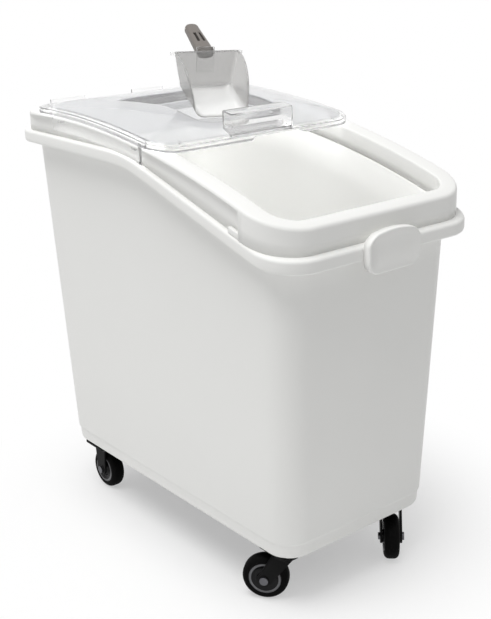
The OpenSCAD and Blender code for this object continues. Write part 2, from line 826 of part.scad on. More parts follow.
module tyre(i) {
    seat_r = wheel_r - tyre_t;
    soft = tyre_edge_r;
    color(black) at_wheel(i) rotate([0, 90, 0]) rotate_extrude() {
        translate([seat_r, -tyre_wid / 2]) square([tyre_t - soft, tyre_wid]);
        translate([seat_r, -tyre_wid / 2 + soft]) square([tyre_t, tyre_wid - 2 * soft]);
        for (z = [-1, 1]) translate([wheel_r - soft, z * (tyre_wid / 2 - soft)]) circle(soft);
    }
}

tub();
rim_frame();
label_plate();
rear_cover();
sliding_lid();
scoop_bowl();
scoop_handle();
swivel_mount(0);  // front_left_mount
screws(0);  // front_left_screws
swivel_fork(0);  // front_left_fork
axle(0);  // front_left_axle
hub(0);  // front_left_hub
tyre(0);  // front_left_tyre
swivel_mount(1);  // front_right_mount
screws(1);  // front_right_screws
swivel_fork(1);  // front_right_fork
axle(1);  // front_right_axle
hub(1);  // front_right_hub
tyre(1);  // front_right_tyre
fixed_fork(2);  // rear_left_fork
screws(2);  // rear_left_screws
axle(2);  // rear_left_axle
hub(2);  // rear_left_hub
tyre(2);  // rear_left_tyre
fixed_fork(3);  // rear_right_fork
screws(3);  // rear_right_screws
axle(3);  // rear_right_axle
hub(3);  // rear_right_hub
tyre(3);  // rear_right_tyre
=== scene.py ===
"""Rolling flour bin: moulded shells, clear lid and scoop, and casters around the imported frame. Metres."""
import json
import math
from functools import lru_cache

import bmesh
import bpy
from mathutils import Matrix, Vector


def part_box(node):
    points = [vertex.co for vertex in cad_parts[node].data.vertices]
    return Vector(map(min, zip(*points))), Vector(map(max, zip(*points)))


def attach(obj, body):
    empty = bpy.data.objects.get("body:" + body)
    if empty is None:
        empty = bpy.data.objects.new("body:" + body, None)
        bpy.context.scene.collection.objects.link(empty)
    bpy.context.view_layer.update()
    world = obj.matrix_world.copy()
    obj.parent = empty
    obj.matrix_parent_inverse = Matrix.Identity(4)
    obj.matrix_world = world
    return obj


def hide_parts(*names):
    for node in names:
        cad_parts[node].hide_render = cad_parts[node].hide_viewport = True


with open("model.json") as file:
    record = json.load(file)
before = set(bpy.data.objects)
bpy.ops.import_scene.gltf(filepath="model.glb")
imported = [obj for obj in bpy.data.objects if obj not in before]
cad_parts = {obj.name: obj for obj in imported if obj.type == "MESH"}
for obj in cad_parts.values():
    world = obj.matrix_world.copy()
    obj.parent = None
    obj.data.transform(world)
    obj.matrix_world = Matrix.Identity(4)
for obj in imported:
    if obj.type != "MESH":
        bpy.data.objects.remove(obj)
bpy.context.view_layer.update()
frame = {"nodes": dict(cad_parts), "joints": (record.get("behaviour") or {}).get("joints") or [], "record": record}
joints = {joint["name"]: joint for joint in frame["joints"]}
MM = 0.001
SOFT = 1 * MM

# Places that the frame gives
tub_low, tub_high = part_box("tub")
rim_low, rim_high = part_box("rim_frame")
lid_low, lid_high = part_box("sliding_lid")
CENTRE_Y = (tub_low.y + tub_high.y) / 2
FLANGE_W = tub_high.x - tub_low.x
FLANGE_L = tub_high.y - tub_low.y
BASE_Z = tub_low.z
RIM_W = rim_high.x - rim_low.x
RIM_L = rim_high.y - rim_low.y
RAIL_MID = Vector(joints["lid_travel"]["pos_m"])
RAIL_TOP = rim_high.z
RAIL_R = RAIL_TOP - RAIL_MID.z

# Tub
FLANGE_R = 66 * MM
FLANGE_H = 21 * MM
FLANGE_T = 4 * MM
FLANGE_WEB = 2.5 * MM
LIP_R = 5 * MM
LIP_FOOT_SHARE = 0.6
SEAM_REAR = 699 * MM
SEAM_SLOPE = 0.3
SEAM_KNEE = 6 * MM
SEAM_TOE = -330 * MM
SEAM_TOE_SLOPE = 0.2
SEAM_BLEND = 26 * MM
TUB_INSET = 25 * MM
TUB_R = 46 * MM
TUB_WALL = 3.5 * MM
TUB_FLOOR_Z = BASE_Z + 6 * MM
TUB_FLOOR_R = 22 * MM
TUB_FOOT_R = 9 * MM
TUB_SIDE_RUN = 262 * MM
TUB_END_RUN = 110 * MM
TUB_EYE_UP = 200 * MM
DRAFT_SIDE = math.tan(math.radians(1.75))
DRAFT_END = math.tan(math.radians(2.5))
BAND_H = 27.5 * MM
BAND_STEP = 2.8 * MM
UPSTAND_H = 20 * MM
LEDGE_W = 7 * MM
LEDGE_EDGE = 1.5 * MM

# Rim frame
RIM_R = FLANGE_R + 5 * MM
RIM_FRONT_IN = 12 * MM
RIM_REAR_R = 94 * MM
RIM_WALL = 3 * MM
RIM_FIT = 0.4 * MM
RIM_SEAT = 0.2 * MM
RIM_SIDE_FRONT, RIM_SIDE_REAR = -272 * MM, 274 * MM
RIM_END_RUN = 100 * MM
STRIP_T = 3.5 * MM
STRIP_OUTER_R = 4.5 * MM
STRIP_INNER_R = 3.5 * MM
INNER_WALL_H = 32 * MM
GROOVE_D = 7 * MM
GROOVE_EDGE = 0.6 * MM
GROOVE_FRONT = -278 * MM
RAIL_LIP_H = 6 * MM
RIB_W = 3.5 * MM
RIB_PROUD = 0.4 * MM
STEP_RUN = 0.3 * MM
FOOT_L = 24 * MM
FOOT_H = 9 * MM
FOOT_FIT, FOOT_SET_IN, FOOT_ROOT, FOOT_UP = 0.2 * MM, 0.4 * MM, 0.5 * MM, 0.3 * MM
RIM_WALL_TILT = 0.3

# Label plate
PLATE_R = 20 * MM
PLATE_EDGE_R = 2.5 * MM
PLATE_BORDER = 2.5 * MM
PLATE_FIELD_D = 0.8 * MM
PLATE_TOP_DROP = 3 * MM
PLATE_DOME = 9 * MM

# Lid
LID_W = lid_high.x - lid_low.x
LID_L = lid_high.y - lid_low.y
LID_MID_Y = (lid_low.y + lid_high.y) / 2
LID_T = 2.5 * MM
LID_GAP = 0.8 * MM
LID_R = 50 * MM
LID_LEAST_R = 14 * MM
LID_EDGE_R = 2.7 * MM
LID_SIDE = 143 * MM
LID_END = 154 * MM
SHOULDER_H = 10 * MM
CROWN_H = 28 * MM
CROWN_RUN = 140 * MM
PANEL_STEP = 2.2 * MM
BORDER = 10 * MM
PANEL_FRONT = lid_low.y + BORDER
PANEL_REAR = lid_high.y - 48 * MM
PANEL_FRONT_R = 40 * MM
PANEL_REAR_R = 16 * MM
PANEL_LEAST_R = 3 * MM
PANEL_LEAD = 10 * MM
NOTCH_LEFT, NOTCH_RIGHT, NOTCH_H = -24 * MM, 92 * MM, 6 * MM
NOTCH_LEFT_RUN, NOTCH_RIGHT_RUN = 5 * MM, 26 * MM
SKIRT_FRONT = -48 * MM
SKIRT_REAR = 215 * MM
SKIRT_H = 24 * MM
HOOK_IN = 16 * MM
HOOK_L = 11 * MM
HOOK_T = 2.5 * MM
HOOK_REACH = 5.8 * MM
RUNNER_IN, RUNNER_HALF_T, RUNNER_SINK = 8 * MM, 1.25 * MM, 1.5 * MM
END_RIB_L, END_RIB_IN, END_RIB_OUT = 4 * MM, 0.3 * MM, 0.5 * MM
SKIRT_FOOT_L, SKIRT_FOOT_HALF_T = 11 * MM, 2 * MM
SKIRT_TOP_SHARE = 0.6
SKIRT_EDGE_R = 0.4 * MM
SKIRT_CUTS = 40
PULL_MID_Y = lid_low.y + 15.5 * MM
PULL_HALF_W = 64 * MM
PULL_HALF_D = 12.5 * MM
PULL_R = 4 * MM
PULL_H = 45 * MM
PULL_EDGE_R = 2.2 * MM
PULL_SINK = 1.2 * MM
PULL_SIDE_RUN, PULL_END_RUN, PULL_WALL_UP = 6 * MM, 56 * MM, 30 * MM

# Scoop pocket in the lid
POCKET_UP = 11 * MM
POCKET_FRONT = lid_low.y + 47 * MM
POCKET_L = 184 * MM
POCKET_MID = Vector((0, POCKET_FRONT + 88 * MM, 0))
POCKET_R = 30 * MM
POCKET_HALF_W = 88 * MM
POCKET_EDGE_H = 2.2 * MM
POCKET_LEAD = 3 * MM
POCKET_WALL_IN, POCKET_WALL_TILT = 12 * MM, 0.75
WAIST_HALF_W = 84 * MM
WAIST_FRONT, WAIST_RUN = 70 * MM, 46 * MM
FLARE_FRONT, FLARE_RUN, FLARE_W = 93 * MM, 91 * MM, 41 * MM

# Scoop
SCOOP_IN = 135 * MM
SCOOP_TURN = math.radians(-18)
SCOOP_GAP = 0.3 * MM
SCOOP_H = 92 * MM
SCOOP_D = 84 * MM
SCOOP_TOP_D = 6 * MM
SCOOP_W = 94 * MM
SCOOP_TOP_W = 114 * MM
SCOOP_RISE = 28 * MM
SCOOP_R = 18 * MM
SCOOP_REAR_R = 7 * MM
SCOOP_T = 2.4 * MM
MOUTH_BULGE = 25 * MM
EAR_W, EAR_D, EAR_H = 6 * MM, 6 * MM, 5 * MM
BOSS_W, BOSS_T, BOSS_H, BOSS_UP = 31 * MM, 5 * MM, 42 * MM, 6 * MM
EAR_GAP, BOSS_GAP, BOSS_EDGE_R = 0.2 * MM, 0.05 * MM, 1.2 * MM
GRIP_L, GRIP_LEAD, GRIP_GAP = 87 * MM, 8 * MM, 0.1 * MM
GRIP_HALF_W, GRIP_HALF_T = 15 * MM, 9.5 * MM
GRIP_RISE = math.radians(19)
GRIP_TAPER = 0.2
GRIP_ROUNDNESS = 0.75
SLOT_FROM, SLOT_TO = 22 * MM, 52 * MM
SLOT_HALF_W, SLOT_OFF, SLOT_D = 2.1 * MM, 4.6 * MM, 7 * MM
SLOT_SIDE_RUN, SLOT_END_RUN = 1.2 * MM, 3 * MM

# Wheels
WHEEL_R = 38 * MM
TYRE_W = 26 * MM
TYRE_T = 11 * MM
TREAD_R = 9 * MM
HUB_W = 29 * MM
HUB_BOSS_R = 12 * MM
HUB_BORE_R = 4.05 * MM
HUB_EDGE = 1.5 * MM
HUB_DISH_D = 4 * MM
HUB_RING_W = 4.4 * MM


def ramp(d):
    """Soft bend: about 0 below 0, and about d above it."""
    return (d + math.sqrt(d * d + SEAM_BLEND * SEAM_BLEND)) / 2


def smooth(t):
    t = min(max(t, 0.0), 1.0)
    return t * t * (3 - 2 * t)


def seam_z(y):
    """Height of the flange top: level behind, falling to the front, easing at the toe."""
    d = y - CENTRE_Y
    fall = SEAM_SLOPE * ramp(SEAM_KNEE - d)
    return SEAM_REAR - fall + SEAM_TOE_SLOPE * ramp(SEAM_TOE - d)


def rail_z(y, up):
    """Height of the rails' arc at y, raised by up."""
    return RAIL_MID.z + math.sqrt((RAIL_R + up) ** 2 - (y - RAIL_MID.y) ** 2)


def level(z):
    return lambda y: z


def over_seam(up):
    return lambda y: seam_z(y) + up


def over_rail(up):
    return lambda y: rail_z(y, up)


# Meshes

def mesh_from(bm, name):
    mesh = bpy.data.meshes.new(name)
    bm.to_mesh(mesh)
    bm.free()
    return mesh


def add_object(name, data):
    """Puts a mesh, a lamp or a camera into the scene."""
    made = bpy.data.objects.new(name, data)
    bpy.context.scene.collection.objects.link(made)
    return made


def finish_piece(bm, name, body, materials, replaces=()):
    """Turns a bmesh into a smooth piece that rides on a body."""
    mesh = mesh_from(bm, name)
    for face in mesh.polygons:
        face.use_smooth = True
    piece = add_object(name, mesh)
    for material in materials:
        mesh.materials.append(material)
    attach(piece, body)
    if replaces:
        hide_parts(*replaces)
    return piece


def ring_samples(side_ys, end_xs, corner_steps):
    """Stations round a rounded rectangle: on the sides by y, on the ends by x, and round the corners."""
    rising_ys, rising_xs = sorted(side_ys), sorted(end_xs)
    quarters = [([("side", 1, y) for y in rising_ys], (1, 1)),
                ([("end", 1, x) for x in reversed(rising_xs)], (-1, 1)),
                ([("side", -1, y) for y in reversed(rising_ys)], (-1, -1)),
                ([("end", -1, x) for x in rising_xs], (1, -1))]
    samples = []
    for i, (straight, corner) in enumerate(quarters):
        samples += straight
        for k in range(corner_steps + 1):
            samples.append(("corner", corner, math.radians(90 * (i + k / corner_steps))))
    return samples


def plan_point(sample, half_w, half_l, r, mid_y=CENTRE_Y):
    """Where a station lies in plan on a rounded rectangle of these half sizes."""
    kind, side, at = sample
    if kind == "side":
        return side * half_w, mid_y + at
    if kind == "end":
        return at, mid_y + side * half_l
    return side[0] * (half_w - r) + r * math.cos(at), mid_y + side[1] * (half_l - r) + r * math.sin(at)


def face_outward(bm):
    bmesh.ops.recalc_face_normals(bm, faces=bm.faces)


def thicken(bm, thickness):
    bmesh.ops.solidify(bm, geom=bm.faces, thickness=thickness)
    face_outward(bm)


def first_ring(count, place):
    """New bmesh with a row of vertices, numbered as stations, where place puts them."""
    bm = bmesh.new()
    station = bm.verts.layers.int.new("station")
    ring = []
    for i in range(count):
        vert = bm.verts.new(place(i))
        vert[station] = i
        ring.append(vert)
    return bm, station, ring


def extrude_ring(bm, edges, station, place):
    """Extrudes a row of edges to where place puts each station, and returns the new edges."""
    made = bmesh.ops.extrude_edge_only(bm, edges=edges)["geom"]
    verts = {g for g in made if isinstance(g, bmesh.types.BMVert)}
    for vert in verts:
        vert.co = place(vert[station])
    return [g for g in made if isinstance(g, bmesh.types.BMEdge) and set(g.verts) <= verts]


def loft(samples, sections, close=False, cap_first=False, cap_last=False):
    """Extrudes a ring of stations through its sections; a section gives each station's place."""
    bm, station, ring = first_ring(len(samples), lambda i: sections[0](samples[i]))
    edges = [bm.edges.new((a, b)) for a, b in zip(ring, ring[1:] + ring[:1])]
    if cap_first:
        bmesh.ops.contextual_create(bm, geom=edges)
    for section in sections[1:]:
        edges = extrude_ring(bm, edges, station, lambda i: section(samples[i]))
    if cap_last:
        bmesh.ops.contextual_create(bm, geom=edges)
    if close:
        bmesh.ops.remove_doubles(bm, verts=bm.verts, dist=1e-6)
    face_outward(bm)
    return bm


def spread(low, high, count):
    return [low + (high - low) * i / (count - 1) for i in range(count)]


def fillet(steps):
    """Fractions (across, along) of a quarter round, from its start to its end."""
    turns = [math.radians(90 * i / steps) for i in range(steps + 1)]
    return [(1 - math.cos(t), math.sin(t)) for t in turns]


def round_edges(bm, edges, r, segments):
    bmesh.ops.bevel(bm, geom=edges, offset=r, segments=segments, profile=0.5, affect="EDGES", material=-1)


def slab(bm, low, high, height, cuts=0, edge_r=0.0):
    """Adds a block between two corners given as (x, y, up), bent so that height(y, up) gives its z."""
    block = bmesh.new()
    bmesh.ops.create_cube(block, size=1)
    if cuts:
        along = [e for e in block.edges if abs(e.verts[0].co.y - e.verts[1].co.y) > 0.5]
        bmesh.ops.subdivide_edges(block, edges=along, cuts=cuts, use_grid_fill=True)
    spans = [sorted(span) for span in zip(low, high)]
    for vert in block.verts:
        x, y, up = [a + (b - a) * (c + 0.5) for (a, b), c in zip(spans, vert.co)]
        vert.co = (x, y, height(y, up))
    if edge_r:
        sharp = [e for e in block.edges if e.calc_face_angle(0) > 1.0]
        round_edges(block, sharp, edge_r, 2)
    spare = mesh_from(block, "block")
    bm.from_mesh(spare)
    bpy.data.meshes.remove(spare)


# Tub

def tub_station(height, grow=0.0):
    """Section on the tapered wall at a height that depends on y, grown sideways by grow."""
    def place(sample):
        y = plan_point(sample, FLANGE_W / 2, FLANGE_L / 2 - TUB_INSET, TUB_R)[1]
        for _ in range(3):
            z = height(y)
            half_w = FLANGE_W / 2 - TUB_INSET - (SEAM_REAR - z) * DRAFT_SIDE + grow
            half_l = FLANGE_L / 2 - TUB_INSET - (SEAM_REAR - z) * DRAFT_END + grow
            x, y = plan_point(sample, half_w, half_l, TUB_R + grow)
        return Vector((x, y, height(y)))
    return place


def flange_station(inset, height):
    """Section drawn in from the flange's edge."""
    def place(sample):
        x, y = plan_point(sample, FLANGE_W / 2 - inset, FLANGE_L / 2 - inset, FLANGE_R - inset)
        return Vector((x, y, height(y)))
    return place


def tub_wall_sections():
    """From the underside round the foot, up the base band and over its step, then up the wall."""
    band_top = BASE_Z + BAND_H
    sections = [tub_station(level(BASE_Z), -BAND_STEP - TUB_FOOT_R)]
    for across, along in fillet(5):
        grow = -BAND_STEP - TUB_FOOT_R * (1 - along)
        sections.append(tub_station(level(BASE_Z + TUB_FOOT_R * across), grow))
    for up, share in ((-2.5 * MM, 1), (-1 * MM, 0.85), (1 * MM, 0.15), (3 * MM, 0)):
        sections.append(tub_station(level(band_top + up), -BAND_STEP * share))
    for t in (0.3, 0.6, 0.9):
        sections.append(tub_station(lambda y, t=t: band_top + (seam_z(y) - FLANGE_H - band_top) * t))
    return sections


def tub_flange_sections():
    """Out under the flange, round its lip and back over its top, then over the upstand."""
    sections = [tub_station(over_seam(-FLANGE_T - FLANGE_WEB)),
                tub_station(over_seam(-FLANGE_T), FLANGE_WEB),
                flange_station(FLANGE_T + FLANGE_WEB, over_seam(-FLANGE_T)),
                flange_station(FLANGE_T, over_seam(-FLANGE_T - FLANGE_WEB)),
                flange_station(FLANGE_T, over_seam(-FLANGE_H + 2 * SOFT)),
                flange_station(FLANGE_T - SOFT, over_seam(-FLANGE_H))]
    for across, along in fillet(5):
        inset = LIP_R * LIP_FOOT_SHARE * (1 - along)
        sections.append(flange_station(inset, over_seam(-FLANGE_H + LIP_R * across)))
    for across, along in fillet(6):
        sections.append(flange_station(LIP_R * across, over_seam(-LIP_R * (1 - along))))
    sections += [tub_station(over_seam(0), SOFT),
                 tub_station(over_seam(2 * SOFT)),
                 tub_station(over_seam(UPSTAND_H - SOFT)),
                 tub_station(over_seam(UPSTAND_H), -SOFT),
                 tub_station(over_seam(UPSTAND_H), -TUB_WALL + SOFT),
                 tub_station(over_seam(UPSTAND_H - SOFT), -TUB_WALL)]
    return sections


def tub_inner_sections():
    """Down inside to the ledge under the rim, down the inner wall, and round to the floor."""
    under_rim = -INNER_WALL_H - SOFT
    sections = [tub_station(over_rail(under_rim), -TUB_WALL),
                tub_station(over_rail(under_rim), -TUB_WALL - LEDGE_W + LEDGE_EDGE),
                tub_station(over_rail(under_rim - LEDGE_EDGE), -TUB_WALL - LEDGE_W)]
    for t in (0.9, 0.6, 0.3):
        sections.append(tub_station(lambda y, t=t: TUB_FLOOR_Z + (seam_z(y) - TUB_FLOOR_Z) * t,
                                    -TUB_WALL - LEDGE_W * t))
    for across, along in fillet(6):
        grow = -TUB_WALL - TUB_FLOOR_R * across
        sections.append(tub_station(level(TUB_FLOOR_Z + TUB_FLOOR_R * (1 - along)), grow))
    return sections


def make_tub(material, painted_light_inner_material):
    sides, ends = spread(-TUB_SIDE_RUN, TUB_SIDE_RUN, 61), spread(-TUB_END_RUN, TUB_END_RUN, 9)
    sections = tub_wall_sections() + tub_flange_sections() + tub_inner_sections()
    bm = loft(ring_samples(sides, ends, 12), sections, cap_first=True, cap_last=True)
    eye = Vector((0, CENTRE_Y, TUB_FLOOR_Z + TUB_EYE_UP))
    for face in bm.faces:
        spot = face.calc_center_median()
        below_top = TUB_FLOOR_Z - SOFT < spot.z < seam_z(spot.y) + UPSTAND_H
        within = below_top and abs(spot.x) < FLANGE_W / 2 - TUB_INSET
        # Faces inside the bin take the brighter copy of the white plastic: painted light.
        face.material_index = 1 if within and (eye - spot).dot(face.normal) > 0 else 0
    finish_piece(bm, "tub_moulding", "bin", [material, painted_light_inner_material], ["tub"])


# Rim frame

OPEN_IN = TUB_WALL + RIM_FIT + RIM_WALL
FRONT_DROP = SEAM_REAR - seam_z(CENTRE_Y - FLANGE_L / 2)
OPEN_W = FLANGE_W - 2 * (TUB_INSET + FRONT_DROP * DRAFT_SIDE + OPEN_IN)
OPEN_L = FLANGE_L - 2 * (TUB_INSET + FRONT_DROP * DRAFT_END + OPEN_IN)
OPEN_R = TUB_R - OPEN_IN


def groove_depth(sample):
    """How far the rail groove cuts in at a station; a small rib stands out at its front end."""
    kind, _, at = sample
    if kind != "side":
        return 0.0
    if at >= GROOVE_FRONT:
        return GROOVE_D
    if at >= GROOVE_FRONT - RIB_W:
        return -RIB_PROUD
    return 0.0


def rim_outer(inset, height, grooved=False):
    """Section drawn in from the rim's outer wall, with the rail grooves or without."""
    def place(sample):
        kind, side, _ = sample
        at_rear = kind == "corner" and side[1] > 0
        at_front = kind == "corner" and side[1] < 0 or kind == "end" and side < 0
        r = (RIM_REAR_R if at_rear else RIM_R) - inset
        half_l = RIM_L / 2 - inset - (RIM_FRONT_IN if at_front else 0)
        x, y = plan_point(sample, RIM_W / 2 - inset, half_l, r)
        if grooved:
            most = RIM_W / 2 - inset - (GROOVE_D if at_rear else groove_depth(sample))
            if kind == "corner":
                x = max(-most, min(x, most))
            elif kind == "side":
                x = math.copysign(most, x)
        return Vector((x, y, height(y)))
    return place


def rim_inner(grow, height):
    """Section on the rim's opening, grown by grow."""
    def place(sample):
        x, y = plan_point(sample, OPEN_W / 2 + grow, OPEN_L / 2 + grow, OPEN_R + grow)
        return Vector((x, y, height(y)))
    return place


def up_the_rim(share):
    """Height between the flange and the rails' lip."""
    return lambda y: seam_z(y) + (rail_z(y, -RAIL_LIP_H) - seam_z(y)) * share


def make_rim(material, painted_light_inner_material):
    rib_front = GROOVE_FRONT - RIB_W
    side_ys = spread(RIM_SIDE_FRONT, RIM_SIDE_REAR, 75)
    side_ys += [GROOVE_FRONT, GROOVE_FRONT - STEP_RUN, rib_front, rib_front - STEP_RUN]
    samples = ring_samples(side_ys, spread(-RIM_END_RUN, RIM_END_RUN, 11), 16)
    foot, hidden = over_seam(RIM_SEAT), GROOVE_D + RIM_WALL
    sections = [rim_outer(0, foot, True)]
    sections += [rim_outer(0, up_the_rim(share), True) for share in (0.5, 0.9)]
    sections += [rim_outer(0, over_rail(-RAIL_LIP_H - GROOVE_EDGE), True),
                 rim_outer(0, over_rail(-RAIL_LIP_H))]
    for across, along in fillet(5):
        sections.append(rim_outer(STRIP_OUTER_R * across, over_rail(-STRIP_OUTER_R * (1 - along))))
    for across, along in fillet(5):
        sections.append(rim_inner(STRIP_INNER_R * (1 - along), over_rail(-STRIP_INNER_R * across)))
    sections += [rim_inner(0, over_rail(-INNER_WALL_H * 0.6)),
                 rim_inner(STEP_RUN, over_rail(-INNER_WALL_H)),
                 rim_inner(RIM_WALL, over_rail(-INNER_WALL_H)),
                 rim_inner(RIM_WALL, over_rail(-STRIP_T)),
                 rim_outer(hidden, over_rail(-STRIP_T)),
                 rim_outer(hidden, foot),
                 rim_outer(0, foot, True)]
    bm = loft(samples, sections, close=True)
    for face in bm.faces:
        spot = face.calc_center_median()
        in_mouth = (abs(spot.x) < OPEN_W / 2 + RIM_SEAT
                    and abs(spot.y - CENTRE_Y) < OPEN_L / 2 + RIM_SEAT)
        # The rim's upright faces in the mouth take the brighter copy of the white plastic: painted light.
        face.material_index = 1 if in_mouth and abs(face.normal.z) < RIM_WALL_TILT else 0
    finish_piece(bm, "rim_moulding", "bin", [material, painted_light_inner_material], ["rim_frame"])


def make_stop_feet(material):
    """Small feet in the front ends of the rail grooves."""
    bm = bmesh.new()
    start = CENTRE_Y + GROOVE_FRONT + FOOT_FIT
    for side in (-1, 1):
        slab(bm, (side * (RIM_W / 2 - FOOT_SET_IN), start, FOOT_UP),
             (side * (RIM_W / 2 - GROOVE_D - FOOT_ROOT), start + FOOT_L, FOOT_H),
             lambda y, up: seam_z(y) + up, cuts=3, edge_r=SOFT)
    face_outward(bm)
    finish_piece(bm, "groove_feet", "bin", [material])


# Label plate

def rounded_block(size, corner_r, edge_r):
    """Block with its wide face towards -Y, round corners, cuts down that face and soft front edges."""
    bm = bmesh.new()
    bmesh.ops.create_cube(bm, size=1)
    bmesh.ops.scale(bm, vec=size, verts=bm.verts)
    corners = [e for e in bm.edges if abs(e.verts[0].co.y - e.verts[1].co.y) > size.y / 2]
    round_edges(bm, corners, corner_r, 8)
    reach = size.x / 2 - corner_r - SOFT
    for share in spread(-1, 1, 9):
        bmesh.ops.bisect_plane(bm, geom=bm.verts[:] + bm.edges[:] + bm.faces[:], dist=1e-6,
                               plane_co=(share * reach, 0, 0), plane_no=(1, 0, 0))
    front = [e for e in bm.edges
             if all(v.co.y < -size.y * 0.49 for v in e.verts) and e.calc_face_angle(0) > 0.5]
    round_edges(bm, front, edge_r, 4)
    return bm


def make_label_plate(material):
    """Plate with a domed top and a sunk field."""
    low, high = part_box("label_plate")
    size = high - low
    bm = rounded_block(size, PLATE_R, PLATE_EDGE_R)
    field = [f for f in bm.faces if f.normal.y < -0.99]
    bmesh.ops.inset_region(bm, faces=field, thickness=PLATE_BORDER, depth=0, use_even_offset=True)
    bmesh.ops.inset_region(bm, faces=field, thickness=SOFT, depth=-PLATE_FIELD_D, use_even_offset=True)
    for vert in bm.verts:
        if vert.co.z > 0:
            drop = PLATE_TOP_DROP + PLATE_DOME * (2 * vert.co.x / size.x) ** 2
            vert.co.z -= drop * vert.co.z / (size.z / 2)
    bmesh.ops.translate(bm, vec=(low + high) / 2, verts=bm.verts)
    finish_piece(bm, "label_holder", "bin", [material], ["label_plate"])


# Sliding lid

def inside_panel(x, y):
    """Distance of a point in from the crowned panel's edge, in plan."""
    r = PANEL_REAR_R if y > POCKET_MID.y else PANEL_FRONT_R
    mid_y, half_l = (PANEL_FRONT + PANEL_REAR) / 2, (PANEL_REAR - PANEL_FRONT) / 2
    qx, qy = abs(x) - LID_W / 2 + BORDER + r, abs(y - mid_y) - half_l + r
    return r - math.hypot(max(qx, 0), max(qy, 0)) - min(max(qx, qy), 0)


def crown_up(x, y):
    """Height of the lid's top over the rails: a level border, then a step up to the crowned panel."""
    edge_in = inside_panel(x, y)
    if edge_in < STEP_RUN:
        return SHOULDER_H
    low = SHOULDER_H + PANEL_STEP
    return low + (CROWN_H - low) * (1 - (1 - min(edge_in / CROWN_RUN, 1)) ** 3)


def panel_edge(edge_in, up=None):
    """Section drawn in from the crowned panel's edge."""
    def place(sample):
        kind, side, at = sample
        half_w, low, high = LID_W / 2 - BORDER - edge_in, PANEL_FRONT + edge_in, PANEL_REAR - edge_in
        front_r, rear_r = PANEL_FRONT_R - edge_in, max(PANEL_REAR_R - edge_in, PANEL_LEAST_R)
        if kind == "side":
            share = (at / LID_SIDE + 1) / 2
            x, y = side * half_w, (low + front_r) * (1 - share) + (high - rear_r) * share
        elif kind == "end":
            r = rear_r if side > 0 else front_r
            x, y = at / LID_END * (half_w - r), high if side > 0 else low
        else:
            r = rear_r if side[1] > 0 else front_r
            x = side[0] * (half_w - r) + r * math.cos(at)
            y = (high - r if side[1] > 0 else low + r) + r * math.sin(at)
        return Vector((x, y, rail_z(y, crown_up(x, y) if up is None else up)))
    return place


def in_pocket(x, y):
    """Whether a point is in the scoop pocket, which has a waist and flares to the rear."""
    d = y - POCKET_FRONT
    if not 0 < d < POCKET_L:
        return False
    rear = WAIST_HALF_W + FLARE_W * max(0.0, (d - FLARE_FRONT) / FLARE_RUN)
    front = POCKET_HALF_W - POCKET_R + math.sqrt(max(0.0, POCKET_R ** 2 - max(0.0, POCKET_R - d) ** 2))
    blend = smooth((d - WAIST_FRONT) / WAIST_RUN)
    return abs(x) < front + (rear - front) * blend


def lid_edge(edge_in, up):
    """Section drawn in from the lid's edge, at a height over the rails that may depend on x and y."""
    def place(sample):
        r = max(LID_R - edge_in, LID_LEAST_R)
        x, y = plan_point(sample, LID_W / 2 - edge_in, LID_L / 2 - edge_in, r, LID_MID_Y)
        return Vector((x, y, rail_z(y, up(x, y) if callable(up) else up)))
    return place


@lru_cache(maxsize=None)
def pocket_edge(sample):
    """Where the line from the pocket's middle to a station crosses the pocket's edge."""
    x, y = plan_point(sample, LID_W / 2, LID_L / 2, LID_R, LID_MID_Y)
    out = Vector((x, y, 0)) - POCKET_MID
    low, high = 0.0, 1.0
    for _ in range(30):
        mid = (low + high) / 2
        spot = POCKET_MID + out * mid
        low, high = (mid, high) if in_pocket(spot.x, spot.y) else (low, mid)
    return POCKET_MID + out * low


def pocket_section(grow, up):
    """Section that follows the pocket's edge, grown by grow; up takes the crown's height there."""
    def place(sample):
        edge = pocket_edge(sample)
        spot = edge + (edge - POCKET_MID).normalized() * grow
        return Vector((spot.x, spot.y, rail_z(spot.y, up(crown_up(spot.x, spot.y)))))
    return place


def pocket_floor(share):
    """Section on the pocket's floor, a share of the way out from its middle."""
    def place(sample):
        spot = POCKET_MID + (pocket_edge(sample) - POCKET_MID) * share
        return Vector((spot.x, spot.y, rail_z(spot.y, POCKET_UP)))
    return place


def between(share):
    """Section on the crowned panel between its edge and the pocket's edge."""
    outer, inner = panel_edge(PANEL_LEAD), pocket_section(POCKET_LEAD, lambda up: up)

    def place(sample):
        spot = outer(sample).lerp(inner(sample), share)
        return Vector((spot.x, spot.y, rail_z(spot.y, crown_up(spot.x, spot.y))))
    return place


def lid_foot(x, y):
    """Height of the lid's lower edge, raised along the finger notch in front."""
    if y > LID_MID_Y:
        return LID_GAP
    rise = smooth((x - NOTCH_LEFT) / NOTCH_LEFT_RUN) * smooth((NOTCH_RIGHT - x) / NOTCH_RIGHT_RUN)
    return LID_GAP + NOTCH_H * rise


def lid_rim_sections():
    """Up the lid's edge, over the level border, up the step and onto the crowned panel."""
    wall_top = SHOULDER_H - LID_EDGE_R - 0.6 * MM
    sections = [lid_edge(0, lid_foot),
                lid_edge(0, lambda x, y: max(wall_top, lid_foot(x, y) + 0.25 * MM))]
    for across, along in fillet(5):
        sections.append(lid_edge(LID_EDGE_R * across, SHOULDER_H - LID_EDGE_R * (1 - along)))
    for edge_in, share in ((-1.5 * MM, 0), (-0.4 * MM, 0.15), (0.2 * MM, 0.8)):
        sections.append(panel_edge(edge_in, SHOULDER_H + share * PANEL_STEP))
    return sections + [panel_edge(edge_in) for edge_in in (0.8 * MM, 2 * MM, 4.5 * MM)]


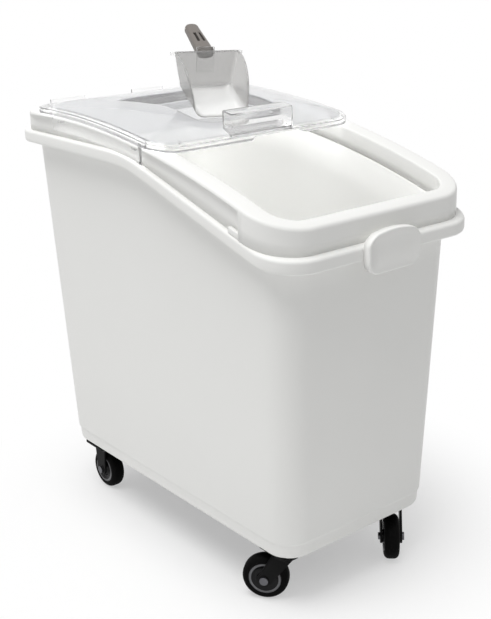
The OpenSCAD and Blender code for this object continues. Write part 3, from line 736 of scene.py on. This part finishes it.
def pocket_sections():
    """Over the pocket's edge, down its wall, and in over its floor."""
    sections = []
    for grow, down in ((0.8 * MM, 0.3 * MM), (0, 1 * MM), (-0.6 * MM, POCKET_EDGE_H)):
        sections.append(pocket_section(grow, lambda up, down=down: up - down))
    for grow, rise in ((-1.6 * MM, POCKET_EDGE_H), (-2.4 * MM, 0.6 * MM), (-4 * MM, 0)):
        sections.append(pocket_section(grow, lambda up, rise=rise: POCKET_UP + rise))
    return sections + [pocket_floor(share) for share in (0.85, 0.6, 0.35, 0.12)]


def make_lid(material, border_material, pocket_shade_material):
    samples = ring_samples(spread(-LID_SIDE, LID_SIDE, 81), spread(-LID_END, LID_END, 89), 12)
    sections = lid_rim_sections() + [between(share) for share in spread(0, 1, 14)] + pocket_sections()
    bm = loft(samples, sections, cap_last=True)
    if sum(f.normal.z * f.calc_area() for f in bm.faces) < 0:
        bmesh.ops.reverse_faces(bm, faces=bm.faces)
    thicken(bm, LID_T)
    for face in bm.faces:
        spot = face.calc_center_median()
        inside = inside_panel(spot.x, spot.y)
        # Faces of the pocket's wall take the darkened material: painted shade.
        on_pocket_wall = abs(face.normal.z) < POCKET_WALL_TILT and inside > POCKET_WALL_IN
        face.material_index = 1 if inside < 0 else 2 if on_pocket_wall else 0
    materials = [material, border_material, pocket_shade_material]
    finish_piece(bm, "lid_shell", "sliding_lid", materials, ["sliding_lid"])


def pull_section(inset, up):
    """Section round the pull ridge; up is a height over the rails, or None for the crowned top."""
    def place(sample):
        x, y = plan_point(sample, PULL_HALF_W - inset, PULL_HALF_D - inset, PULL_R - inset, PULL_MID_Y)
        return Vector((x, y, rail_z(y, crown_up(x, y) - PULL_SINK if up is None else up)))
    return place


def make_lid_pull(material):
    """Hollow pull ridge across the front of the lid."""
    sides, ends = spread(-PULL_SIDE_RUN, PULL_SIDE_RUN, 3), spread(-PULL_END_RUN, PULL_END_RUN, 15)
    sections = [pull_section(0, None), pull_section(0, PULL_WALL_UP)]
    for across, along in fillet(4):
        sections.append(pull_section(PULL_EDGE_R * across, PULL_H - PULL_EDGE_R * (1 - along)))
    bm = loft(ring_samples(sides, ends, 5), sections, cap_last=True)
    thicken(bm, LID_T)
    finish_piece(bm, "lid_pull", "sliding_lid", [material])


def make_lid_skirts(material):
    """Skirts outside the rails with an end rib, a foot and hooks, and the ribs that ride on the rails."""
    bm = bmesh.new()
    inner = RIM_W / 2 + LID_GAP
    outer = inner + LID_T
    rib_in, rib_out = inner - END_RIB_IN, outer + END_RIB_OUT
    front, rear = CENTRE_Y + SKIRT_FRONT, CENTRE_Y + SKIRT_REAR
    top, hook_up = SHOULDER_H * SKIRT_TOP_SHARE, -RAIL_LIP_H - LID_GAP
    runner = RIM_W / 2 - RUNNER_IN

    def bar(side, across, along, ups, cuts=0):
        low, high = zip([side * x for x in across], along, ups)
        slab(bm, low, high, rail_z, cuts, SKIRT_EDGE_R)

    for side in (-1, 1):
        bar(side, (inner, outer), (front + END_RIB_L - SOFT, rear), (-SKIRT_H, top), SKIRT_CUTS)
        bar(side, (rib_in, rib_out), (front, front + END_RIB_L), (-SKIRT_H - SOFT, top))
        bar(side, (rib_in, rib_out), (front - SOFT, front + SKIRT_FOOT_L),
            (-SKIRT_H - SKIRT_FOOT_HALF_T, -SKIRT_H + SKIRT_FOOT_HALF_T))
        for hook_y in (front + HOOK_IN, rear - HOOK_IN - HOOK_L):
            bar(side, (inner - HOOK_REACH, inner + SOFT), (hook_y, hook_y + HOOK_L),
                (hook_up - HOOK_T, hook_up))
        bar(side, (runner - RUNNER_HALF_T, runner + RUNNER_HALF_T), (front, rear),
            (LID_GAP, SHOULDER_H + RUNNER_SINK), SKIRT_CUTS)
    face_outward(bm)
    finish_piece(bm, "lid_skirts", "sliding_lid", [material])


# Scoop

scoop_y = lid_low.y + SCOOP_IN
SCOOP_LEAN = math.asin((RAIL_MID.y - scoop_y) / (RAIL_R + POCKET_UP))
SCOOP_PLACE = (Matrix.Translation(RAIL_MID) @ Matrix.Rotation(SCOOP_LEAN, 4, "X")
               @ Matrix.Translation((0, 0, RAIL_R + POCKET_UP + SCOOP_GAP))
               @ Matrix.Rotation(SCOOP_TURN, 4, "Z") @ Matrix.Translation((0, SCOOP_D / 2, 0)))


def bowl_outline():
    """The bowl's U from its left top to its right top, each point with its inward direction."""
    lean = math.atan2((SCOOP_TOP_W - SCOOP_W) / 2, SCOOP_H - SCOOP_R)
    mid = SCOOP_W / 2 - SCOOP_R
    low_x, low_z = mid + SCOOP_R * math.cos(lean), SCOOP_R - SCOOP_R * math.sin(lean)
    right = [(x, 0, math.pi / 2) for x in spread(0, mid, 7)[1:]]
    for turn in spread(math.pi / 2, lean, 9)[1:]:
        right.append((mid + SCOOP_R * math.cos(turn), SCOOP_R - SCOOP_R * math.sin(turn), turn))
    for t in spread(0, 1, 12)[1:]:
        right.append((low_x + (SCOOP_TOP_W / 2 - low_x) * t, low_z + (SCOOP_H - low_z) * t, lean))
    right = [(Vector((x, 0, z)), Vector((-math.cos(a), 0, math.sin(a)))) for x, z, a in right]
    left = [(Vector((-p.x, 0, p.z)), Vector((-n.x, 0, n.z))) for p, n in reversed(right)]
    return left + [(Vector((0, 0, 0)), Vector((0, 0, 1)))] + right


def mouth_depth(z):
    """Depth of the bowl at height z: the cut edge is an arc from the lip to the top."""
    rise, run = SCOOP_H, SCOOP_D - SCOOP_TOP_D
    chord = math.hypot(rise, run)
    r = (chord * chord / 4 + MOUTH_BULGE ** 2) / (2 * MOUTH_BULGE)
    back = r - MOUTH_BULGE
    mid_y, mid_z = -(SCOOP_D + SCOOP_TOP_D) / 2 + back * rise / chord, rise / 2 - back * run / chord
    return -(mid_y - math.sqrt(r * r - (z - mid_z) ** 2))


def raised(z, y):
    """Height in the bowl at y: its floor rises from the lip to the rear wall."""
    return z + SCOOP_RISE * (1 + y / SCOOP_D) * (1 - z / SCOOP_H)


def mouth_y(z):
    """Where the side that starts at height z of the outline ends at the mouth."""
    y = -SCOOP_D
    for _ in range(6):
        y = -max(mouth_depth(raised(z, y)), SCOOP_REAR_R + SOFT)
    return y


def make_scoop_bowl(material):
    """Rear wall, a round corner, then sides and floor drawn forward to the mouth's cut edge."""
    outline = bowl_outline()

    def place(i, inset, y):
        point, inward = outline[i]
        spot = point + inward * inset
        return Vector((spot.x, y(point.z), min(raised(spot.z, y(point.z)), SCOOP_H)))

    rings = [(SCOOP_REAR_R * (1 - along), lambda z, across=across: -SCOOP_REAR_R * across)
             for across, along in fillet(6)]
    rings += [(0, lambda z, t=t: -SCOOP_REAR_R + (mouth_y(z) + SCOOP_REAR_R) * t)
              for t in spread(0, 1, 14)[1:]]
    bm, station, ring = first_ring(len(outline), lambda i: place(i, *rings[0]))
    edges = [bm.edges.new(pair) for pair in zip(ring, ring[1:])]
    bmesh.ops.contextual_create(bm, geom=edges + [bm.edges.new((ring[-1], ring[0]))])
    for inset, y in rings[1:]:
        edges = extrude_ring(bm, edges, station, lambda i: place(i, inset, y))
    face_outward(bm)
    thicken(bm, SCOOP_T)
    bmesh.ops.transform(bm, matrix=SCOOP_PLACE, verts=bm.verts)
    finish_piece(bm, "scoop_bowl_shell", "scoop", [material], ["scoop_bowl"])


def make_scoop_boss(material):
    """Ears on the rear wall, and the boss behind it that carries the handle."""
    bm = bmesh.new()

    def upright(_, up):
        return up

    for side in (-1, 1):
        slab(bm, (side * (SCOOP_TOP_W / 2 + EAR_GAP), -EAR_D, SCOOP_H - EAR_H),
             (side * (SCOOP_TOP_W / 2 + EAR_W), 0, SCOOP_H), upright, edge_r=SOFT)
    top = SCOOP_H + BOSS_UP
    slab(bm, (-BOSS_W / 2, BOSS_GAP, top - BOSS_H), (BOSS_W / 2, BOSS_T, top), upright, edge_r=BOSS_EDGE_R)
    face_outward(bm)
    bmesh.ops.transform(bm, matrix=SCOOP_PLACE, verts=bm.verts)
    finish_piece(bm, "scoop_boss", "scoop", [material])


def grip_point(angle, y):
    """Point on the grip round its length, and how deep it is pressed into a slot, from 0 to 1."""
    round_end = math.sqrt(max(0.0, 1 - max(0.0, (y - GRIP_L + GRIP_HALF_T) / GRIP_HALF_T) ** 2))
    taper = 1 - GRIP_TAPER * smooth(y / GRIP_L)
    c, s = math.cos(angle), math.sin(angle)
    x = GRIP_HALF_W * taper * round_end * math.copysign(abs(s) ** GRIP_ROUNDNESS, s)
    z = GRIP_HALF_T * round_end * math.copysign(abs(c) ** GRIP_ROUNDNESS, c)
    if c <= 0:
        return Vector((x, y, z)), 0.0
    across = smooth((SLOT_HALF_W - abs(abs(x) - SLOT_OFF)) / SLOT_SIDE_RUN)
    along = smooth((y - SLOT_FROM) / SLOT_END_RUN) * smooth((SLOT_TO - y) / SLOT_END_RUN)
    return Vector((x, y, z - SLOT_D * across * along)), across * along


def make_scoop_handle(material, slot_shade_material):
    """Grip with two slots pressed into its top, cut off flat at the boss; the slots' faces are painted near black
    as painted shade.
    """
    slot_verts = []
    bm = bmesh.new()
    bmesh.ops.create_grid(bm, x_segments=64, y_segments=90, size=1)
    for vert in bm.verts:
        y = -GRIP_LEAD + (GRIP_L + GRIP_LEAD) * (vert.co.y + 1) / 2
        vert.co, pressed = grip_point(math.pi * vert.co.x, y)
        if pressed > 0.5:
            slot_verts.append(vert)
    # Painted shade: the faces in the slots take a near-black colour.
    for face in {f for v in slot_verts for f in v.link_faces}:
        face.material_index = 1
    bmesh.ops.remove_doubles(bm, verts=bm.verts, dist=1e-5)
    bmesh.ops.rotate(bm, matrix=Matrix.Rotation(GRIP_RISE, 3, "X"), verts=bm.verts, cent=(0, 0, 0))
    bmesh.ops.bisect_plane(bm, geom=bm.verts[:] + bm.edges[:] + bm.faces[:], plane_co=(0, GRIP_GAP, 0),
                           plane_no=(0, 1, 0), clear_inner=True)
    bmesh.ops.holes_fill(bm, edges=[e for e in bm.edges if e.is_boundary], sides=0)
    face_outward(bm)
    bmesh.ops.translate(bm, vec=(0, BOSS_T, SCOOP_H + BOSS_UP - GRIP_HALF_T), verts=bm.verts)
    bmesh.ops.transform(bm, matrix=SCOOP_PLACE, verts=bm.verts)
    materials = [material, slot_shade_material]
    finish_piece(bm, "scoop_grip", "scoop", materials, ["scoop_handle"])


# Casters

def lathe(profile, joint, name, body, materials, replaces):
    """Spins a profile of (along the axle, radius) round a wheel's axle."""
    bm = bmesh.new()
    verts = [bm.verts.new((a, 0, r)) for a, r in profile]
    edges = [bm.edges.new(pair) for pair in zip(verts, verts[1:] + verts[:1])]
    bmesh.ops.spin(bm, geom=verts + edges, axis=(1, 0, 0), cent=(0, 0, 0), angle=2 * math.pi, steps=64,
                   use_merge=True)
    bmesh.ops.remove_doubles(bm, verts=bm.verts, dist=1e-6)
    face_outward(bm)
    axis = Vector(joint["axis"])
    turn = Vector((1, 0, 0)).rotation_difference(axis).to_matrix().to_4x4()
    bmesh.ops.transform(bm, matrix=Matrix.Translation(joint["pos_m"]) @ turn, verts=bm.verts)
    return finish_piece(bm, name, body, materials, replaces)


def arc_points(mid, r, start, end, steps):
    """Points on an arc about mid, from one angle to another in degrees."""
    turns = [math.radians(turn) for turn in spread(start, end, steps + 1)]
    return [(mid[0] + r * math.cos(turn), mid[1] + r * math.sin(turn)) for turn in turns]


def make_wheel(corner, tyre_material, hub_material, ring_highlight_material):
    joint = joints[corner + "_roll"]
    body = corner + "_wheel"
    half, seat = TYRE_W / 2, WHEEL_R - TYRE_T
    round_at = half - TREAD_R
    tyre = [(-half, seat)]
    tyre += arc_points((-round_at, WHEEL_R - TREAD_R), TREAD_R, 180, 90, 6)
    tyre += arc_points((round_at, WHEEL_R - TREAD_R), TREAD_R, 90, 0, 6)
    tyre += [(half, seat)]
    lathe(tyre, joint, corner + "_tread", body, [tyre_material], [corner + "_tyre"])
    hub_half, dish = HUB_W / 2, half - HUB_DISH_D
    hub = [(-hub_half, HUB_BORE_R), (-hub_half, HUB_BOSS_R - HUB_EDGE), (-hub_half + HUB_EDGE, HUB_BOSS_R),
           (-dish, HUB_BOSS_R + SOFT), (-dish, seat - 7 * MM), (-half + 0.5 * MM, seat - 4.5 * MM),
           (-half + 0.2 * MM, seat - 2 * MM), (-half + 1.2 * MM, seat)]
    hub += [(-a, r) for a, r in reversed(hub)]
    materials = [hub_material, ring_highlight_material]
    core = lathe(hub, joint, corner + "_core", body, materials, [corner + "_hub"])
    mid, axle = Vector(joint["pos_m"]), Vector(joint["axis"]).normalized()
    # Faces near the hub's rim take the lighter grey: a painted highlight where the rim's edge catches the light.
    for face in core.data.polygons:
        out = face.center - mid
        if (out - axle * out.dot(axle)).length > seat - HUB_RING_W:
            face.material_index = 1


# Materials

def join(output, socket):
    """Links one node's output to another node's input."""
    output.id_data.links.new(output, socket)


def math_value(nodes, operation, *values):
    """Result of one operation on one or two values."""
    node = nodes.new("ShaderNodeMath")
    node.operation = operation
    for i, value in enumerate(values):
        join(value, node.inputs[i])
    return node.outputs["Value"]


def moulded_skin_group():
    """Fine moulded grain as a normal, a broad mottle as a mask, and a mask of rubbed edges."""
    group = bpy.data.node_groups.new("moulded skin", "ShaderNodeTree")
    for name in ("Grain", "Relief"):
        group.interface.new_socket(name=name, in_out="INPUT", socket_type="NodeSocketFloat")
    for name, kind in (("Normal", "Vector"), ("Mottle", "Float"), ("Edge", "Float")):
        group.interface.new_socket(name=name, in_out="OUTPUT", socket_type="NodeSocket" + kind)
    nodes = group.nodes
    take, give = nodes.new("NodeGroupInput"), nodes.new("NodeGroupOutput")
    coord = nodes.new("ShaderNodeTexCoord")
    grain = nodes.new("ShaderNodeTexNoise")
    grain.inputs["Detail"].default_value = 3
    join(coord.outputs["Object"], grain.inputs["Vector"])
    join(take.outputs["Grain"], grain.inputs["Scale"])
    bump = nodes.new("ShaderNodeBump")
    bump.inputs["Distance"].default_value = 0.4 * MM
    join(take.outputs["Relief"], bump.inputs["Strength"])
    join(grain.outputs["Fac"], bump.inputs["Height"])
    join(bump.outputs["Normal"], give.inputs["Normal"])
    broad = nodes.new("ShaderNodeTexNoise")
    broad.inputs["Scale"].default_value = 6
    broad.inputs["Detail"].default_value = 4
    join(coord.outputs["Object"], broad.inputs["Vector"])
    join(broad.outputs["Fac"], give.inputs["Mottle"])
    shape = nodes.new("ShaderNodeNewGeometry")
    sharp = nodes.new("ShaderNodeMapRange")
    sharp.inputs["From Min"].default_value = 0.53
    sharp.inputs["From Max"].default_value = 0.63
    join(shape.outputs["Pointiness"], sharp.inputs["Value"])
    rubbed = math_value(nodes, "MULTIPLY", sharp.outputs["Result"], broad.outputs["Fac"])
    join(rubbed, give.inputs["Edge"])
    return group


SKIN = moulded_skin_group()


def new_material(name):
    material = bpy.data.materials.new(name)
    material.use_nodes = True
    nodes = material.node_tree.nodes
    return material, nodes, nodes["Principled BSDF"]


def add_skin(nodes, bsdf, grain, relief):
    """Places the moulded skin in a material and gives the shader its grain."""
    skin = nodes.new("ShaderNodeGroup")
    skin.node_tree = SKIN
    skin.inputs["Grain"].default_value = grain
    skin.inputs["Relief"].default_value = relief
    join(skin.outputs["Normal"], bsdf.inputs["Normal"])
    return skin


def mix_colours(nodes, share, second, first=None):
    """Colour that goes from the first to the second with a share."""
    tone = nodes.new("ShaderNodeMix")
    tone.data_type = "RGBA"
    if first:
        tone.inputs["A"].default_value = (*first, 1)
    tone.inputs["B"].default_value = (*second, 1)
    join(share, tone.inputs["Factor"])
    return tone


def mix_values(nodes, share, low, high):
    """Value that goes from low to high with a share."""
    value = nodes.new("ShaderNodeMapRange")
    value.inputs["To Min"].default_value = low
    value.inputs["To Max"].default_value = high
    join(share, value.inputs["Value"])
    return value.outputs["Result"]


def mix_surface(nodes, share, first, second):
    """Surface that goes from the first shader to the second with a share."""
    mix = nodes.new("ShaderNodeMixShader")
    join(share, mix.inputs["Fac"])
    join(first, mix.inputs[1])
    join(second, mix.inputs[2])
    join(mix.outputs["Shader"], nodes["Material Output"].inputs["Surface"])


def moulded_plastic(name, light, dark, rough, grain, relief, shine):
    """Moulded plastic or paint: colour drifts between two tones, with a fine grain and rubbed edges."""
    material, nodes, bsdf = new_material(name)
    bsdf.inputs["Specular IOR Level"].default_value = shine
    skin = add_skin(nodes, bsdf, grain, relief)
    tone = mix_colours(nodes, skin.outputs["Mottle"], dark, light)
    worn_tone = [0.88 * channel + 0.015 for channel in dark]
    worn = mix_colours(nodes, skin.outputs["Edge"], worn_tone)
    join(tone.outputs["Result"], worn.inputs["A"])
    join(worn.outputs["Result"], bsdf.inputs["Base Color"])
    sheen = mix_values(nodes, skin.outputs["Mottle"], rough - 0.04, rough + 0.04)
    join(sheen, bsdf.inputs["Roughness"])
    return material


def clear_plastic(name, upright_painted_tone, level_painted_tone, rough, ior, clear):
    """Clear moulded plastic: one tone on upright faces and one on level ones, painted light and shade that stands
    in for how the light falls, and no hard shadow.
    """
    material, nodes, bsdf = new_material(name)
    bsdf.inputs["Transmission Weight"].default_value = clear
    bsdf.inputs["IOR"].default_value = ior
    facing = nodes.new("ShaderNodeNewGeometry")
    parts = nodes.new("ShaderNodeSeparateXYZ")
    join(facing.outputs["True Normal"], parts.inputs["Vector"])
    # Painted light and shade: the tone follows how level or upright the face is.
    painted_tone_share = math_value(nodes, "ABSOLUTE", parts.outputs["Z"])
    tone = mix_colours(nodes, painted_tone_share, level_painted_tone, upright_painted_tone)
    join(tone.outputs["Result"], bsdf.inputs["Base Color"])
    skin = add_skin(nodes, bsdf, grain=60, relief=0.04)
    haze = mix_values(nodes, skin.outputs["Mottle"], rough, rough + 0.08)
    join(haze, bsdf.inputs["Roughness"])
    path = nodes.new("ShaderNodeLightPath")
    open_light = nodes.new("ShaderNodeBsdfTransparent")
    open_light.inputs["Color"].default_value = (0.93, 0.93, 0.93, 1)
    mix_surface(nodes, path.outputs["Is Shadow Ray"], bsdf.outputs["BSDF"], open_light.outputs["BSDF"])
    return material


def plated_steel(name):
    """Dark plated steel, duller where its edges are rubbed."""
    material, nodes, bsdf = new_material(name)
    bsdf.inputs["Metallic"].default_value = 1.0
    skin = add_skin(nodes, bsdf, grain=1500, relief=0.1)
    tone = mix_colours(nodes, skin.outputs["Mottle"], (0.1, 0.1, 0.11), (0.16, 0.16, 0.17))
    join(tone.outputs["Result"], bsdf.inputs["Base Color"])
    join(mix_values(nodes, skin.outputs["Edge"], 0.26, 0.45), bsdf.inputs["Roughness"])
    return material


white_plastic = moulded_plastic("white moulded plastic", light=(0.88, 0.88, 0.862), dark=(0.86, 0.86, 0.84),
                                rough=0.42, grain=900, relief=0.06, shine=0.22)
# Painted light: the same white plastic made brighter for the bin's inside faces, standing in for light bouncing
# round inside the white bin and through the lid.
painted_light_inner_plastic = moulded_plastic("inner plastic brightened as painted light", light=(0.965, 0.965, 0.945), dark=(0.95, 0.95, 0.93),
                                rough=0.36, grain=900, relief=0.04, shine=0.22)
# The lid's and scoop's upright and level tones are painted light and shade; the scoop's walls are painted much
# darker than its floor.
clear_lid = clear_plastic("clear lid plastic", upright_painted_tone=(0.9, 0.9, 0.905), level_painted_tone=(0.74, 0.745, 0.755),
                          rough=0.06, ior=1.42, clear=0.64)
clear_edge = clear_plastic("clear lid edge plastic", upright_painted_tone=(0.97, 0.97, 0.97),
                           level_painted_tone=(0.95, 0.95, 0.95), rough=0.03, ior=1.35, clear=0.96)
# Painted shade: the pocket's clear wall is made much darker than the rest of the lid, to draw a dark line along
# the pocket's edge.
shaded_pocket_wall = clear_plastic("clear pocket wall darkened as painted shade", upright_painted_tone=(0.55, 0.55, 0.56),
                            level_painted_tone=(0.5, 0.5, 0.51), rough=0.05, ior=1.42, clear=0.9)
clear_scoop = clear_plastic("clear scoop plastic", upright_painted_tone=(0.6, 0.595, 0.585),
                            level_painted_tone=(0.95, 0.95, 0.94), rough=0.05, ior=1.42, clear=0.7)
handle_plastic = moulded_plastic("taupe handle plastic", light=(0.19, 0.17, 0.155), dark=(0.15, 0.135, 0.122),
                                 rough=0.42, grain=700, relief=0.1, shine=0.3)
tyre_rubber = moulded_plastic("black tyre rubber", light=(0.003, 0.003, 0.003), dark=(0.006, 0.006, 0.006),
                              rough=0.6, grain=500, relief=0.2, shine=0.03)
hub_plastic = moulded_plastic("dark hub plastic", light=(0.006, 0.006, 0.007), dark=(0.012, 0.012, 0.012),
                              rough=0.26, grain=500, relief=0.1, shine=0.15)
# Lighter grey for the ring at the hub's rim: a painted highlight.
hub_ring_highlight = moulded_plastic("hub ring painted highlight grey", light=(0.17, 0.17, 0.18), dark=(0.12, 0.12, 0.125),
                           rough=0.3, grain=500, relief=0.1, shine=0.3)
black_metal = moulded_plastic("black coated metal", light=(0.003, 0.003, 0.003), dark=(0.007, 0.007, 0.007),
                              rough=0.42, grain=800, relief=0.15, shine=0.05)
# Near-black colour for the faces in the handle's slots: painted shade in the recesses.
slot_shade = moulded_plastic("painted slot shade", light=(0.03, 0.025, 0.022), dark=(0.045, 0.04, 0.035),
                             rough=0.5, grain=700, relief=0.1, shine=0.1)
dark_steel = plated_steel("dark plated steel")

SLOT_MATERIALS = {"white_plastic": white_plastic, "clear_lid": clear_lid, "clear_scoop": clear_scoop,
                  "handle_plastic": handle_plastic, "tyre_rubber": tyre_rubber,
                  "hub_plastic": hub_plastic, "plated_steel": dark_steel, "black_metal": black_metal}
for part in frame["record"]["subparts"]:
    node = frame["nodes"][part["node"]]
    node.data.materials.clear()
    node.data.materials.append(SLOT_MATERIALS[part["material_slot"]])
frame["nodes"]["rear_cover"].data.materials[0] = clear_edge

make_tub(white_plastic, painted_light_inner_plastic)
make_rim(white_plastic, painted_light_inner_plastic)
make_stop_feet(white_plastic)
make_label_plate(white_plastic)
make_lid(clear_lid, clear_edge, shaded_pocket_wall)
make_lid_pull(clear_edge)
make_lid_skirts(clear_edge)
make_scoop_bowl(clear_scoop)
make_scoop_boss(clear_edge)
make_scoop_handle(handle_plastic, slot_shade)
for corner in ("front_left", "front_right", "rear_left", "rear_right"):
    make_wheel(corner, tyre_rubber, hub_plastic, hub_ring_highlight)


# Stage, light and camera

def background_share(nodes):
    """1 for a ray that shows the background: from the camera, mirrored, or through clear plastic."""
    path = nodes.new("ShaderNodeLightPath")
    share = path.outputs["Is Camera Ray"]
    for kind in ("Is Glossy Ray", "Is Transmission Ray"):
        share = math_value(nodes, "MAXIMUM", share, path.outputs[kind])
    return share


def make_floor(near, far, near_share):
    """Pale floor that takes the shadow near the object and fades to plain white away from it."""
    bm = bmesh.new()
    bmesh.ops.create_grid(bm, x_segments=1, y_segments=1, size=20)
    mesh = mesh_from(bm, "floor")
    floor = add_object("floor", mesh)
    material, nodes, bsdf = new_material("pale floor")
    bsdf.inputs["Base Color"].default_value = (0.95, 0.95, 0.95, 1)
    bsdf.inputs["Roughness"].default_value = 0.9
    coord = nodes.new("ShaderNodeTexCoord")
    away = nodes.new("ShaderNodeVectorMath")
    away.operation = "LENGTH"
    join(coord.outputs["Object"], away.inputs[0])
    white = nodes.new("ShaderNodeMapRange")
    white.interpolation_type = "SMOOTHSTEP"
    white.inputs["From Min"].default_value = near
    white.inputs["From Max"].default_value = far
    white.inputs["To Min"].default_value = near_share
    join(away.outputs["Value"], white.inputs["Value"])
    seen = math_value(nodes, "MULTIPLY", background_share(nodes), white.outputs["Result"])
    glow = nodes.new("ShaderNodeEmission")
    mix_surface(nodes, seen, bsdf.outputs["BSDF"], glow.outputs["Emission"])
    mesh.materials.append(material)


def area_light(name, place, aim, size, power):
    lamp = bpy.data.lights.new(name, "AREA")
    lamp.shape = "DISK"
    lamp.size = size
    lamp.energy = power
    lamp_object = add_object(name, lamp)
    lamp_object.location = place
    lamp_object.rotation_euler = (Vector(aim) - Vector(place)).to_track_quat("-Z", "Y").to_euler()


def make_world(strength):
    """White all round: at full strength where it is seen, and dimmer as light on the object."""
    world = bpy.data.worlds.new("studio")
    bpy.context.scene.world = world
    world.use_nodes = True
    nodes = world.node_tree.nodes
    background = nodes["Background"]
    background.inputs["Color"].default_value = (1, 1, 1, 1)
    glow = mix_values(nodes, background_share(nodes), strength, 1.0)
    join(glow, background.inputs["Strength"])


def make_camera():
    """Camera at the photograph's angle: azimuth and elevation about a point, with a small roll."""
    azimuth, elevation, roll = math.radians(-38.39), math.radians(18.95), math.radians(-1.52)
    distance, focal_px, image_h = 1.91816, 1104.31, 619
    target = Vector((0.00967, -0.0217 + CENTRE_Y, 0.39886))
    level_run = math.cos(elevation)
    back = Vector((math.sin(azimuth) * level_run, -math.cos(azimuth) * level_run, math.sin(elevation)))
    right = (-back).cross(Vector((0, 0, 1))).normalized()
    up = right.cross(-back)
    tilted_right = right * math.cos(roll) + up * math.sin(roll)
    tilted_up = up * math.cos(roll) - right * math.sin(roll)
    data = bpy.data.cameras.new("camera")
    data.sensor_width = 36
    data.lens = focal_px * data.sensor_width / image_h
    camera = add_object("camera", data)
    turn = Matrix((tilted_right, tilted_up, back)).transposed().to_4x4()
    camera.matrix_world = Matrix.Translation(target + back * distance) @ turn
    bpy.context.scene.camera = camera


make_floor(near=0.2, far=0.6, near_share=0.4)
area_light("key", place=(-1.15, -0.1, 3.7), aim=(0, 0, 0.4), size=2.6, power=94)
make_world(strength=0.4)
make_camera()
bpy.context.scene.view_settings.view_transform = "Standard"
